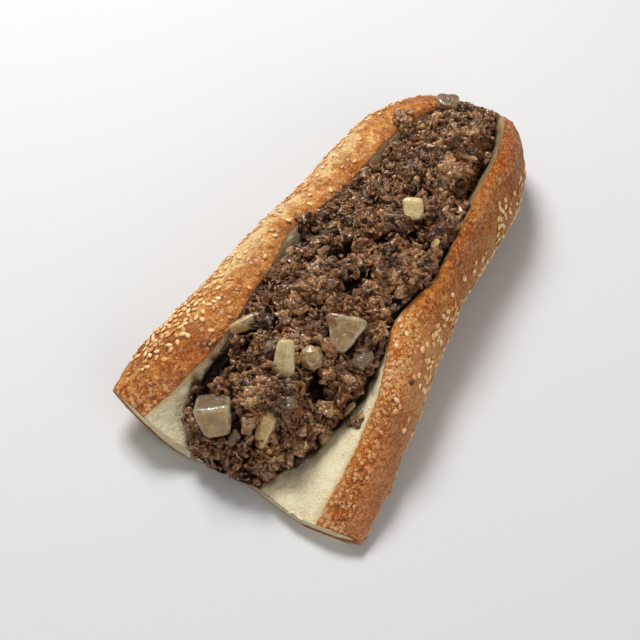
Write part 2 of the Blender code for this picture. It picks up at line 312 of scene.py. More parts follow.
def facing_out(points, quads, triangles):
    """The faces, turned over if the volume that they enclose comes out below 0."""
    volume = (np.cross(points[quads[:, 0]], points[quads[:, 1]]) * points[quads[:, 2]]).sum()
    if volume < 0:
        return quads[:, ::-1], triangles[:, ::-1]
    return quads, triangles


def add_rings(name, rings, first, last, marks, material, replaced=()):
    """Many closed shapes as one piece. The array of rings is (shapes, rows, columns, 3), first and last
    are the end points of each shape, and a mark has a value for each point of the rings."""
    shapes, rows, columns = rings.shape[:3]
    points = np.concatenate([rings.reshape(shapes, -1, 3), first[:, None], last[:, None]], 1)
    points = points.reshape(-1, 3)
    quads, triangles = facing_out(points, *ring_faces(shapes, rows, columns))
    full = {}
    for mark, values in marks.items():
        ends = [values[:, :1].mean(2), values[:, -1:].mean(2)]
        whole = np.concatenate([values.reshape(shapes, rows * columns, *values.shape[3:]), *ends], 1)
        full[mark] = whole.reshape(-1, *values.shape[3:])
    return add_piece(name, points, quads, triangles, full, material, replaced)


# %% [markdown]
# ## Writing finishes as sums
#
# A finish is a network of nodes, which is quicker to read as an expression. `Value` wraps one output
# and turns `1 - mask` or `a * b` into Math nodes. `Finish` is one material: its `node` adds any other
# node, with its settings first and the values or links of its sockets after. `ramp` gives a colour for
# a number, and `tinted` lays further colours over it, each with its own share.

# %% Finish writer
class Value:
    """An output of a node, with the sums that the finishes below need."""

    def __init__(self, finish, socket):
        self.finish = finish
        self.socket = socket

    def _sum(self, operation, first, second):
        return self.finish.node("ShaderNodeMath", {"operation": operation}, {0: first, 1: second})

    def __add__(self, other):
        return self._sum("ADD", self, other)

    def __radd__(self, other):
        return self._sum("ADD", other, self)

    def __sub__(self, other):
        return self._sum("SUBTRACT", self, other)

    def __rsub__(self, other):
        return self._sum("SUBTRACT", other, self)

    def __mul__(self, other):
        return self._sum("MULTIPLY", self, other)

    def __rmul__(self, other):
        return self._sum("MULTIPLY", other, self)

    def size(self):
        """The value without its sign."""
        return self.finish.node("ShaderNodeMath", {"operation": "ABSOLUTE"}, {0: self})

    def between(self, low, high):
        """0 below low, 1 above high, and an S-shaped climb between; low may be the larger."""
        if low < high:
            return self.finish.node("ShaderNodeMapRange", {"interpolation_type": "SMOOTHSTEP"},
                                    {"Value": self, "From Min": low, "From Max": high})
        return 1.0 - self.between(high, low)


class Finish:
    """One material whose nodes are added by name; positions are in millimetres."""

    def __init__(self, name):
        self.material = bpy.data.materials.new(name)
        self.material.use_nodes = True
        self.tree = self.material.node_tree
        self.surface = self.tree.nodes["Principled BSDF"]
        place = self.node("ShaderNodeTexCoord", {}, {}, "Object")
        self.place = self.node("ShaderNodeVectorMath", {"operation": "SCALE"}, {0: place, "Scale": 1 / MM})

    def node(self, kind, settings, sockets, output=0):
        """Adds a node: settings are its own properties, sockets are values or links, by name or number."""
        made = self.tree.nodes.new(kind)
        for name, value in settings.items():
            setattr(made, name, value)
        for name, value in sockets.items():
            self.plug(made.inputs[name], value)
        return Value(self, made.outputs[output])

    def plug(self, socket, value):
        """Links a Value to a socket, or writes a number or colour on it."""
        if isinstance(value, Value):
            self.tree.links.new(value.socket, socket)
        elif isinstance(value, tuple) and len(value) == 3 and socket.type == "RGBA":
            socket.default_value = (*value, 1.0)
        else:
            socket.default_value = value

    def set(self, **values):
        """Sockets of the surface shader, by their names with _ for a space."""
        for name, value in values.items():
            self.plug(self.surface.inputs[name.replace("_", " ")], value)

    def mark(self, name, output="Fac"):
        """Number that the mesh carries on its points, or a vector."""
        return self.node("ShaderNodeAttribute", {"attribute_name": name}, {}, output)

    def stretched(self, place, x, y, z):
        """Places with each axis multiplied: a pattern on them is longer where the factor is small."""
        return self.node("ShaderNodeVectorMath", {"operation": "MULTIPLY"}, {0: place, 1: (x, y, z)})

    def noise(self, size, detail=2.0, roughness=0.5, place=None, swirl=0.0):
        """Cloudy noise, about 0 to 1, with humps `size` millimetres apart, curled where swirl is high."""
        sockets = {"Vector": place or self.place, "Scale": 1 / size, "Detail": detail,
                   "Roughness": roughness, "Distortion": swirl}
        return self.node("ShaderNodeTexNoise", {}, sockets)

    def cells(self, size, output="Distance"):
        """Way to the nearest of scattered points `size` millimetres apart, or that point's random Color."""
        return self.node("ShaderNodeTexVoronoi", {}, {"Vector": self.place, "Scale": 1 / size}, output)

    def ramp(self, share, stops):
        """Colour that goes through the (place, colour) stops as share goes from 0 to 1."""
        made = self.node("ShaderNodeValToRGB", {}, {0: share})
        elements = made.socket.node.color_ramp.elements
        while len(elements) < len(stops):
            elements.new(1.0)
        for element, (place, colour) in zip(elements, stops):
            element.position = place
            element.color = (*colour, 1.0)
        return made

    def mix(self, share, first, second):
        """Colour that goes from first to second as share goes from 0 to 1."""
        return self.node("ShaderNodeMix", {"data_type": "RGBA"}, {0: share, 6: first, 7: second}, 2)

    def tinted(self, colour, *tints):
        """The colour with each (share, tint) mixed over it in turn."""
        for share, tint in tints:
            colour = self.mix(share, colour, tint)
        return colour

    def bump(self, height, depth):
        """Bends the surface as if height rose by depth millimetres."""
        sockets = {"Height": height, "Distance": depth * MM, "Strength": 1.0}
        return self.node("ShaderNodeBump", {}, sockets)


def shade(red, green, blue):
    """Linear colour from the numbers, 0 to 255, that a colour has in a picture."""
    return tuple(((part / 255 + 0.055) / 1.055)**2.4 for part in (red, green, blue))


# %% [markdown]
# ## The roll's shape
#
# The loaf's section is drawn by Bezier curves between lines that run along it: the two ridges of the
# opening, the widest place of each side and the edges of the flat base. The same curves drew the plain
# solid, and here they are sampled much more finely, so the finished bread lies on the solid's surface.
# Sections shrink towards the nose, and near the cut they are pushed back and forth.

# %% Curves of the roll
CUT_Y, NOSE_Y, TIP_Y = -119.0, 62.0, 118.5
NOSE_POWER = 2.3
BELLY_Z = 20.0
CRUMB_FLOOR = 7.0
LEFT_FACE, RIGHT_FACE = 0.34, 0.42
FACE_POWER = 1.4
POCKET_END = (84.0, 109.0)
RELAX_Y = (-119.0, -60.0)
CUT_BEND_Y = (-119.0, -75.0)
CUT_LEAN = 0.25

LEFT_SIDE_X = ((-119, -61), (-85, -60), (-50, -53), (0, -45), (60, -38), (119, -34))
LEFT_SIDE_Z = ((-119, 17), (-60, 21), (0, 22), (119, 21))
LEFT_RIDGE_X = ((-119, -40), (-80, -26.5), (-35, -24.5), (-10, -26), (20, -17), (60, -12), (90, -4),
                (119, 2))
LEFT_RIDGE_Z = ((-119, 21), (-85, 33), (-50, 39), (0, 42), (60, 44), (119, 44))
LEFT_FOOT_X = ((-119, -24), (-60, -30), (0, -28), (119, -22))
RIGHT_SIDE_X = ((-119, 64), (-80, 62.5), (-40, 58), (10, 52), (60, 52), (119, 50))
RIGHT_SIDE_Z = ((-119, 4), (-90, 9), (-50, 16), (60, 19), (119, 20))
RIGHT_RIDGE_X = ((-119, 44.5), (-90, 47), (-62, 44), (-34, 36.5), (-7, 41.5), (50, 38.5), (119, 34.5))
RIGHT_RIDGE_Z = ((-119, 8), (-95, 20), (-70, 30), (-40, 37), (0, 41), (60, 42.5), (119, 42))
RIGHT_FOOT_X = ((-119, 52), (-60, 46), (0, 40), (119, 38))
MIDDLE_X = ((-119, 1), (62, 6), (90, 11), (119, 19))
CUT_EDGE = ((-64, 16), (-40, 8), (-26, 5.5), (0, 6.5), (18, 2.5), (35, -2), (64, -0.5))


def along(knots, y):
    """Smooth curve through (y, value) knots: a cubic between neighbours, with numpy's gradient through
    the knots as its slope at each."""
    places, values = np.array(knots, dtype=float).T
    slopes = np.gradient(values, places)
    y = np.clip(y, places[0], places[-1])
    left = np.clip(np.searchsorted(places, y, side="right") - 1, 0, len(places) - 2)
    span = places[left + 1] - places[left]
    t = (y - places[left]) / span
    return ((2 * t**3 - 3 * t**2 + 1) * values[left] + (t**3 - 2 * t**2 + t) * span * slopes[left]
            + (3 * t**2 - 2 * t**3) * values[left + 1] + (t**3 - t**2) * span * slopes[left + 1])


def rise(start, end, y):
    """0 before start, 1 after end, and an S-shaped climb between."""
    t = np.clip((y - start) / (end - start), 0, 1)
    return t * t * (3 - 2 * t)


def bezier(ends, steps):
    """Points on cubic Bezier curves, one for each row; ends holds the four control points."""
    a, b, c, d = (np.stack(np.broadcast_arrays(*point), -1)[:, None] for point in ends)
    t = (np.arange(steps) / steps)[None, :, None]
    return (1 - t)**3 * a + 3 * (1 - t)**2 * t * b + 3 * (1 - t) * t**2 * c + t**3 * d


def close_nose(x, z, y):
    """Draws a section in towards the belly's middle by sqrt(1 - s^power), where s goes from 0 at the
    nose's start to 1 at its tip."""
    scale = np.sqrt(1 - np.clip((y - NOSE_Y) / (TIP_Y - NOSE_Y), 0, 1)**NOSE_POWER)
    middle = along(MIDDLE_X, y)
    return middle + (x - middle) * scale, BELLY_Z + (z - BELLY_Z) * scale**0.9


def bend_cut(x, y, z):
    """Pushes the sections near the cut back or forward, so that the cut is uneven and leans."""
    strength = 1 - rise(*CUT_BEND_Y, y)
    return np.stack([x, y + strength * (along(CUT_EDGE, x) - CUT_LEAN * z), z], -1)


def crust(y, band, under, base):
    """Outer side of each section, from the right ridge under the loaf to the left ridge; the last
    three say how many points each band, underside and the base take."""
    pressed = 1 - rise(*RELAX_Y, y)
    right_x, right_z = along(RIGHT_RIDGE_X, y), along(RIGHT_RIDGE_Z, y)
    side_x, side_z = along(RIGHT_SIDE_X, y), along(RIGHT_SIDE_Z, y)
    foot, left_foot = along(RIGHT_FOOT_X, y), along(LEFT_FOOT_X, y)
    width, drop = side_x - right_x, right_z - side_z
    right = bezier(((right_x, right_z), (right_x + 0.45 * width, right_z + 0.1 * drop + 1.5),
                    (side_x, side_z + 0.62 * drop), (side_x, side_z)), band)
    right_under = bezier(((side_x, side_z), (side_x, 0.4 * side_z),
                          (foot + 0.35 * (side_x - foot), 0 * y), (foot, 0 * y)), under)
    flat = bezier(((foot, 0 * y), (foot + (left_foot - foot) / 3, 0 * y),
                   (left_foot + (foot - left_foot) / 3, 0 * y), (left_foot, 0 * y)), base)
    left_x, left_z = along(LEFT_RIDGE_X, y), along(LEFT_RIDGE_Z, y)
    out_x, out_z = along(LEFT_SIDE_X, y), along(LEFT_SIDE_Z, y)
    left_under = bezier(((left_foot, 0 * y), (left_foot + 0.4 * (out_x - left_foot), 0 * y),
                         (out_x + 7 * pressed, out_z - 6 * pressed - 0.55 * out_z * (1 - pressed)),
                         (out_x, out_z)), under)
    width, drop = left_x - out_x, left_z - out_z
    left = bezier(((out_x, out_z), (out_x, out_z + 0.75 * drop + 1.0),
                   (left_x - 0.5 * width, left_z + 0.12 * drop + 2.0), (left_x, left_z)), band)
    last = np.stack([left_x, left_z], -1)[:, None]
    return np.concatenate([right, right_under, flat, left_under, left, last], 1)


def crumb(y, u):
    """Inner side of each section: u runs from 0 at the left ridge to 1 at the right ridge. Each face
    falls from its ridge as (1 - way across)^power, down to the floor of bread under the filling."""
    left_x, left_z = along(LEFT_RIDGE_X, y), along(LEFT_RIDGE_Z, y)
    right_x, right_z = along(RIGHT_RIDGE_X, y), along(RIGHT_RIDGE_Z, y)
    floor = np.minimum(CRUMB_FLOOR, 0.7 * np.minimum(left_z, right_z))
    left_fall = (1 - np.clip(u / LEFT_FACE, 0, 1))**FACE_POWER
    right_fall = (1 - np.clip((1 - u) / RIGHT_FACE, 0, 1))**FACE_POWER
    hollow = floor + (left_z - floor) * left_fall + (right_z - floor) * right_fall
    closed = left_z + (right_z - left_z) * u + 2.0 * (1 - (2 * u - 1)**2)
    opened = 1 - rise(*POCKET_END, y)
    return left_x + (right_x - left_x) * u, closed + (hollow - closed) * opened


def crumb_surface(y, u):
    """Points of the bread's inner face in the roll's finished shape."""
    x, z = crumb(y, u)
    x, z = close_nose(x, z, y)
    return bend_cut(x, y, z)


# %% [markdown]
# ## Crust and crumb in relief
#
# A baked crust has long wrinkles where the dough stretched, small blisters from steam, and dents.
# The wrinkles run along the loaf on its outer left side, and the blisters lie in patches on the right
# half. The torn crumb inside is full of holes. All of this is a height added along the surface's
# normal, worked out for the whole grid at once. First the grid itself: one loop of points for each
# section, close together, and closer still towards the tip.

# %% Grid of the roll
BAND, UNDER, BASE = 72, 18, 6
ROLL_STRAIGHT, ROLL_NOSE, CUT_STEPS = 176, 56, 6


def grid_normals(points):
    """Normals of a grid whose columns are a loop: across the rows and round the loop."""
    lengthways = np.gradient(points, axis=0)
    around = np.roll(points, -1, axis=1) - np.roll(points, 1, axis=1)
    normal = np.cross(around, lengthways)
    return normal / np.maximum(np.linalg.norm(normal, axis=-1, keepdims=True), 1e-9)


def roll_grid():
    """Loops of points, one for each section from the cut to the tip: crust, then crumb."""
    straight = np.linspace(CUT_Y, NOSE_Y, ROLL_STRAIGHT, endpoint=False)
    turn = np.sin(np.linspace(0, math.pi / 2, ROLL_NOSE + 1)[:-1])
    y = np.concatenate([straight, NOSE_Y + (TIP_Y - NOSE_Y) * turn])
    rows = y[:, None]
    outer = crust(y, BAND, UNDER, BASE)
    x, z = close_nose(outer[..., 0], outer[..., 1], rows)
    outside = bend_cut(x, np.broadcast_to(rows, x.shape), z)
    way = np.linspace(0, 1, outside.shape[1])[1:-1]
    u = 0.45 * way + 0.55 * (1 - np.cos(math.pi * way)) / 2
    inside = crumb_surface(np.broadcast_to(rows, (len(y), len(u))), u[None])
    return np.concatenate([outside, inside], 1), y, outside.shape[1], u


roll_points, roll_y, crust_columns, crumb_u = roll_grid()
roll_normals = grid_normals(roll_points)
print("roll grid:", roll_points.shape[:2], "crust columns:", crust_columns)

# %% [markdown]
# Each point of the grid is given its place on the bread: how far it is from the ridge, how far down the
# side, left or right, crust or crumb. These say where relief grows, and later what colour a point has.

# %% Relief of the roll
CREASES = ((3.4, 34.0, 0.15, 11), (1.9, 17.0, 0.17, 12))    # spacing across and along, width, seed
BLISTER_SPACING, HOLE_SPACING = 2.3, 2.2


def ring_distances(points, count):
    """Way from the nearest ridge along each section in millimetres: below 0 on crust, above 0 on crumb."""
    step = np.linalg.norm(np.roll(points, -1, axis=1) - points, axis=-1)
    travelled = np.concatenate([np.zeros((len(points), 1)), np.cumsum(step, 1)], 1)
    right, left, whole = travelled[:, :1], travelled[:, count - 1:count], travelled[:, -1:]
    way = travelled[:, :-1]
    outside = -np.minimum(way - right, left - way)
    inside = np.minimum(way - left, whole - way)
    return np.where(np.arange(points.shape[1]) < count, outside, inside)


def down_the_side(count):
    """0 at a ridge, 1 at the side's widest line, 2 at the foot and 3 in the middle of the base."""
    band, under = np.arange(BAND) / BAND, 1 + np.arange(UNDER) / UNDER
    right = np.concatenate([band, under, 2 + np.arange(BASE // 2 + 1) / (BASE / 2)])
    return np.concatenate([right, right[:-1][::-1]])[:count]


def around_bump(value, middle, width):
    """1 at middle, falling to nothing about `width` away on a bell curve."""
    return np.exp(-((value - middle) / width)**2)


rim = ring_distances(roll_points, crust_columns)
down = np.zeros(rim.shape)
down[:, :crust_columns] = down_the_side(crust_columns)
is_crust = (np.arange(rim.shape[1]) < crust_columns) & np.ones(rim.shape, dtype=bool)
is_left = np.zeros(rim.shape, dtype=bool)
is_left[:, crust_columns // 2:crust_columns] = True
is_left[:, crust_columns:] = crumb_u < 0.5
across_u = np.zeros(rim.shape)
across_u[:, crust_columns:] = crumb_u


def crust_relief(points):
    """Height of the crust over its smooth form, with how creased and how blistered it is. Creases are
    where stretched noise changes sign; blisters are round tops over scattered points."""
    y = points[..., 1]
    bent = points + 2.2 * drift(points, 17.0, 3)
    creased = np.zeros(y.shape)
    for across, length, wide, seed in CREASES:
        lines = np.abs(waves(bent / np.array((across, length, across)), 1.0, seed))
        creased = np.maximum(creased, np.clip(1 - lines / wide, 0, 1) * (across / CREASES[0][0]))
    stretch = np.where(is_left, around_bump(down, 0.95, 0.5), 0.25 * around_bump(down, 1.1, 0.4))
    stretch = stretch * np.clip(0.75 + 0.9 * waves(points, 24.0, 14), 0, 1.2)
    stretch = stretch + np.where(is_left, rise(-84, -112, y) * around_bump(down, 0.55, 0.5), 0)
    creased = creased * np.clip(stretch, 0, 1)
    way, lot = pebbles(points + 0.5 * drift(points, 2.5, 19), BLISTER_SPACING, 21)
    patches = np.clip(0.25 + 1.3 * waves(points, 15.0, 22), 0, 1)
    inner = np.where(is_left, 0.35 * around_bump(down, 0.1, 0.25), around_bump(down, 0.28, 0.3))
    near = np.where(is_left, rise(-70, -112, y) + 0.25, 0.35 + 0.65 * rise(5, -45, y))
    chosen = lot < np.clip(patches + 0.3, 0, 0.95) * inner * near * 1.5
    blistered = np.clip(1 - (way / 0.44)**2, 0, 1) * chosen
    height = (0.9 * clouds(points, 36.0, 2, 23) + 0.22 * clouds(points, 7.0, 2, 24)
              + 0.16 * clouds(points, 1.9, 2, 25) - 0.6 * creased + 0.45 * blistered)
    return height, creased, blistered


def crumb_relief(points):
    """Torn bread: soft unevenness, with round holes where scattered points lie."""
    way, lot = pebbles(points + 0.6 * drift(points, 4.0, 33), HOLE_SPACING, 31)
    holes = np.clip(1 - (way / 0.36)**2, 0, 1) * (lot < 0.55)
    return 0.45 * clouds(points, 8.0, 3, 32) - 0.5 * holes, holes


crust_height, creased, blistered = crust_relief(roll_points)
crumb_height, holes = crumb_relief(roll_points)
away_from_ridge = rise(0.0, 2.6, np.abs(rim))
above_base = np.where(is_crust, rise(2.3, 1.9, down), 1.0)
height = np.where(is_crust, crust_height, crumb_height) * away_from_ridge * above_base
unevenness = 0.55 * drift(roll_points, 15.0, 41) + 0.22 * drift(roll_points, 4.0, 42)
roll_surface = roll_points + roll_normals * height[..., None] + unevenness * above_base[..., None]
roll_surface[..., 2] = np.maximum(roll_surface[..., 2], 0.0)
print("relief spans", height.min().round(2), "to", height.max().round(2), "mm")

# %% [markdown]
# The heap of meat reaches partly up each inner face, as shares of the way across the opening. Its juice
# soaks the crumb under it and a few uneven millimetres beyond.

# %% Juice in the crumb
HEAP_LEFT_U = ((-119, 0.27), (-105, 0.11), (-90, 0.05), (-70, 0.03), (-35, 0.02), (-20, 0.07),
               (-6, 0.06), (8, 0.03), (40, 0.03), (54, 0.08), (66, 0.06), (76, 0.035), (86, 0.045),
               (106, 0.06))
HEAP_RIGHT_U = ((-119, 0.64), (-105, 0.69), (-95, 0.735), (-85, 0.77), (-76, 0.83), (-68, 0.88),
                (-50, 0.94), (-28, 0.985), (2, 0.985), (20, 0.94), (40, 0.89), (55, 0.83), (68, 0.80),
                (85, 0.80), (98, 0.83), (106, 0.85))
OPENING_WIDTH = 72.0
SOAKED_REACH, NEAR_REACH = 4.5, 13.0


def juice(points, y, u, reach):
    """How soaked the crumb is: 1 under the meat, fading over `reach` uneven millimetres beyond it."""
    beyond = np.maximum(along(HEAP_LEFT_U, y) - u, u - along(HEAP_RIGHT_U, y)) * OPENING_WIDTH
    return rise(reach, -1.0, beyond + 2.6 * clouds(points, 7.0, 3, 51))


soaked = np.where(is_crust, 0.0, juice(roll_points, roll_y[:, None], across_u, SOAKED_REACH))
near_meat = np.where(is_crust, 0.0, juice(roll_points, roll_y[:, None], across_u, NEAR_REACH))
print("soaked share of the crumb:", (soaked[~is_crust] > 0.5).mean().round(2))

# %% [markdown]
# The grid closes into one piece. At the cut, more rings draw in to the middle of the bread's thickness,
# which makes the rough cut face, and the loop's two sides are welded there. At the tip, the last ring
# meets in one point.

# %% Mesh of the roll
WELD_WITHIN = 0.01 * MM
CRUST_THICKNESS = 1.5    # how far in from the outside the cut face still is crust


def add_roll(material):
    """The bread as one closed piece. Each crust point of the cut meets the crumb point across from it on
    the middle line of the bread's thickness, where the two are welded."""
    partner = (-np.arange(roll_points.shape[1])) % roll_points.shape[1]
    middle = (roll_surface[0] + roll_surface[0][partner]) / 2
    steps = (np.arange(CUT_STEPS, 0, -1) / CUT_STEPS)[:, None, None]
    face = roll_surface[0] + (middle - roll_surface[0]) * steps
    face = face + 0.35 * drift(face, 2.6, 61) * (1 - np.abs(2 * steps - 1))
    thickness = np.linalg.norm(middle - roll_surface[0], axis=-1)
    from_crust = np.where(np.arange(len(partner)) < crust_columns, thickness * steps[..., 0],
                          2 * thickness - thickness * steps[..., 0])
    rings = np.concatenate([face, roll_surface])
    tip = np.array((along(MIDDLE_X, TIP_Y), TIP_Y, BELLY_Z))
    rows, columns = rings.shape[:2]
    quads, triangles = ring_faces(1, rows, columns)
    triangles = np.where(triangles[columns:] > rows * columns, rows * columns, triangles[columns:])
    marks = {"rim": np.concatenate([from_crust - CRUST_THICKNESS, rim]),
             "down": np.concatenate([0 * from_crust, down]),
             "left": np.concatenate([np.repeat(is_left[:1], CUT_STEPS, 0), is_left]),
             "creased": np.concatenate([0 * from_crust, creased]),
             "blistered": np.concatenate([0 * from_crust, blistered]),
             "holes": np.concatenate([0 * from_crust, np.where(is_crust, 0, holes)]),
             "soaked": np.concatenate([np.repeat(soaked[:1], CUT_STEPS, 0) * 0.5, soaked]),
             "near": np.concatenate([np.repeat(near_meat[:1], CUT_STEPS, 0) * 0.5, near_meat])}
    marks = {name: np.append(values.ravel(), values[-1].mean()) for name, values in marks.items()}
    points = np.concatenate([rings.reshape(-1, 3), tip[None]])
    quads, triangles = facing_out(points, quads, triangles)
    piece = add_piece("roll_baked", points, quads, triangles, marks, material, ["roll"])
    welded = bmesh.new()
    welded.from_mesh(piece.data)
    bmesh.ops.remove_doubles(welded, verts=welded.verts, dist=WELD_WITHIN)
    welded.to_mesh(piece.data)
    welded.free()


# %% [markdown]
# ## The finish of the bread
#
# One finish covers the whole roll and changes from crust to crumb at the ridge. The crust is browned
# unevenly: deeper in some patches, paler on blisters and in the stretched wrinkles, dusted with flour
# where the loaf stood in the oven, and rough with pale pits on the far right. It is also painted darker,
# as shade, in its creases and between the blisters, and the flour low on the right also stands for a
# painted bright rim. The crumb is cream with fine pores, painted darker as shade in its pores and holes,
# darker further along the loaf, and brown where the meat's juice soaked in.
#
# It is the longest of the finishes, so it is a `Finish` of its own kind. It makes the places and the
# noises that its parts share once, and each part of the look is a method that reads them.

# %% Finish: baked bread
# Crust colours from pale to dark, on the left half and on the right half.
GOLDEN = ((0.0, shade(255, 214, 152)), (0.24, shade(240, 170, 94)), (0.44, shade(214, 132, 62)),
          (0.64, shade(184, 98, 38)), (0.84, shade(138, 64, 20)), (1.0, shade(92, 42, 12)))
BROWN = ((0.0, shade(255, 210, 136)), (0.24, shade(244, 168, 78)), (0.44, shade(224, 128, 42)),
         (0.64, shade(188, 92, 20)), (0.84, shade(150, 66, 10)), (1.0, shade(108, 46, 8)))
DOT_SPACING = 1.9


class BreadFinish(Finish):
    """Crust and crumb. `far` and `high` are places along the loaf and up; `near` is 1 by the cut."""

    def __init__(self):
        super().__init__("baked bread")
        self.rim, self.down, self.left = self.mark("rim"), self.mark("down"), self.mark("left")
        parts = self.node("ShaderNodeSeparateXYZ", {}, {0: self.place}).socket.node.outputs
        self.far, self.high = Value(self, parts["Y"]), Value(self, parts["Z"])
        self.broad, self.patchy = self.noise(26, 3.0, 0.55), self.noise(7, 3.0, 0.6)
        self.fine, self.speck = self.noise(1.7, 3.0, 0.65), self.noise(0.62, 2.0, 0.6)
        self.flaky = self.noise(0.9, 3.0, 0.7, self.stretched(self.place, 1.0, 0.45, 1.0), 0.8)
        self.rough = self.noise(1.7, 2.0, 0.65, self.stretched(self.place, 1.0, 0.65, 1.0), 0.4)
        self.mottled = self.noise(3.4, 2.0, 0.6)
        self.right = 1.0 - self.left
        self.near, self.outer = self.far.between(0, -45), self.down.between(0.32, 0.55)
        self.strewn = self.right * self.near * (1.0 - self.outer)
        self.beyond = self.right * self.far.between(-40, -5)
        self.way = self.cells(DOT_SPACING) + (self.speck - 0.5) * 0.9 + (self.fine - 0.5) * 0.6
        self.dots, self.fleck, self.pitted = self.dotted(), self.flecked(), self.pits()
        self.pore = self.cells(1.1).between(0.34, 0.06)

    def dotted(self):
        """Small pale blisters: cells that their own random number and the crowd round them pick."""
        crowd = (self.strewn * 0.68 + (self.patchy - 0.5) * 2.2 + 0.04
                 - self.right * self.outer * self.near * 0.12
                 + self.left * self.down.between(0.5, 0.1) * 0.22
                 + self.left * self.far.between(-92, -110) * 0.3)
        picked = (self.cells(DOT_SPACING, "Color") + crowd).between(0.90, 1.08)
        return self.way.between(0.66, 0.34) * picked

    def flecked(self):
        """Thin pale flakes, in patches."""
        flaked = (self.flaky + (self.patchy - 0.5) * 0.3 - self.right * self.near * 0.01
                  + self.right * self.far.between(0, 40) * 0.04)
        return flaked.between(0.56, 0.64)

    def pits(self):
        """Rough pale pits on the far part of the right half."""
        return (self.rough + (self.patchy - 0.5) * 0.2).between(0.52, 0.58) * self.beyond

    def browner_right(self):
        """What the right half's browning adds along the loaf and down its side."""
        far, down = self.far, self.down
        return (far.between(-34, -8) * 0.20 + far.between(50, 85) * 0.18 - far.between(-75, -50) * 0.24
                + down.between(0.45, 0.1) * far.between(-5, 15) * far.between(45, 25) * 0.22
                - down.between(0.4, 0.8) * far.between(-90, -60) * 0.08)

    def browner_left(self):
        """The same for the left half: paler along its side, browner by the cut and at the far end."""
        far, down = self.far, self.down
        along_side = (far.between(65, 50) * far.between(-70, -40) * -0.40
                      - far.between(-60, -35) * far.between(12, -2) * 0.14
                      + far.between(5, 14) * far.between(32, 22) * 0.26
                      - far.between(50, 65) * 0.06)
        by_cut = far.between(-64, -80) * down.between(0.6, 0.2) * (far.between(-102, -90) * 0.12 + 0.24)
        return (down.between(0.15, 0.4) * along_side + by_cut + self.rim.between(-4.5, -1.0) * 0.12
                + far.between(75, 105) * 0.22 - 0.14 + down.between(0.6, 1.0) * 0.20
                - far.between(-88, -104) * 0.10)

    def grainy(self):
        """Fine changes of browning, stronger near on the right and calmer near on the left."""
        smooth_left = self.left * self.down.between(0.5, 0.3) * self.far.between(-95, -80)
        near_right = self.right * self.near
        return ((self.fine - 0.5) * (0.9 - smooth_left * 0.4)
                + (self.flaky - 0.5) * (near_right + 0.8 - smooth_left * 0.4)
                + (self.speck - 0.5) * (near_right * 0.6 + 0.6))

    def crust_darkness(self):
        """How dark the crust is, 0 to 1: baked browning from noise, broad to fine, then by place, with
        painted shade in the creases and between the blisters.
        """
        return (0.55 + (self.broad - 0.5) * (self.left * 0.5 + 0.5)
                + (self.patchy - 0.5) * (self.left * 0.6 + 0.5)
                + (self.mottled - 0.5) * (self.left * 0.3 + 0.4 + self.beyond * 0.6)
                + (0.5 - self.rough) * self.beyond * 1.3 + self.grainy()
                # painted shade: darker between the blisters
                + self.strewn * self.way.between(0.45, 0.75) * 0.26
                + self.browner_right() * self.right + self.browner_left() * self.left
                # painted shade: darker in the creases
                + self.mark("creased") * 0.3 - self.down.between(1.5, 2.1) * 0.16)

    def flour_and_painted_rim(self):
        """Flour at the foot and low on the right, where it also stands for a painted bright rim, and a
        little dust on the left side.
        """
        powder = self.noise(1.2, 2.0, 0.7).between(0.38, 0.62)
        foot = self.high.between(9, 3) * self.down.between(0.8, 1.3)
        # painted light: flour low on the right, which also stands for the bright rim that bounce light
        # gives
        low_right = self.right * self.down.between(0.72, 1.1) * self.down.between(1.5, 1.3) * 1.5
        dust = (self.left * self.far.between(-10, 5) * self.far.between(62, 45)
                * self.down.between(0.15, 0.4) * self.patchy.between(0.4, 0.6))
        return ((foot + low_right) * powder * 0.5 + dust * 0.2).between(0.0, 1.0)

    def crust_colour(self):
        """Golden on the left and brown on the right, then each tint where it belongs."""
        crust_darkness, right = self.crust_darkness(), self.right
        tan = ((self.noise(13, 2.0, 0.5) + (self.fine - 0.5) * 0.3).between(0.50, 0.64)
               * self.left * 0.35 * self.down.between(0.6, 0.4))
        speckled = (self.flaky * 0.6 + self.speck * 0.4).between(0.58, 0.42) * 0.8 + 0.2
        edge_glow = self.rim.between(-5.5, -0.8) * (self.fine * 0.6 + 0.4)
        pale = (self.fleck * (right * 0.3 + 0.5) + self.dots * (self.strewn * 0.2 + 0.6)
                + self.mark("blistered") * 0.3)
        return self.tinted(
            self.mix(self.left, self.ramp(crust_darkness, BROWN), self.ramp(crust_darkness, GOLDEN)),
            (tan, shade(182, 124, 78)),
            (right * self.near * (self.outer * 0.6 + 0.2) * speckled, shade(214, 148, 104)),
            (right * self.far.between(-20, 15) * 0.45, shade(170, 72, 2)),
            (self.pitted * 0.42, shade(246, 158, 70)),
            (edge_glow * right * self.far.between(12, -12) * 0.9, shade(230, 136, 50)),
            (pale.between(0.0, 1.0), shade(244, 190, 128)),
            (self.flour_and_painted_rim(), shade(238, 208, 166)))

    def crumb_colour(self):
        """Cream, painted darker as shade in its pores and holes, darker by the meat, darker further along
        the loaf, soaked below and baked at its edge.
        """
        tone = self.noise(5, 3.0, 0.6) * 0.3 + self.speck * 0.7
        # darker further along the loaf, and later on the left
        darker_further_along = ((self.far - self.left * 38.0).between(-45, 10) * (0.6 + self.mottled * 0.6)
                   * (1.0 - self.left * 0.5))
        juicy = self.mark("soaked") * (self.patchy * 0.9 + 0.5)
        baked_edge = self.rim.between(3.6, 0.0) * (0.75 - self.far.between(-45, 10) * 0.45)
        return self.tinted(
            self.mix(tone.between(0.35, 0.65), shade(240, 218, 172), shade(255, 248, 216)),
            # painted shade in the pores and holes
            (self.pore * 0.16 + self.mark("holes") * 0.24, shade(200, 172, 120)),
            (self.mark("near") * self.patchy * 0.36, shade(196, 168, 112)),
            (darker_further_along.between(0.0, 1.0), shade(144, 114, 76)),
            (juicy.between(0.1, 0.9), shade(106, 68, 38)),
            (baked_edge, shade(232, 186, 126)))


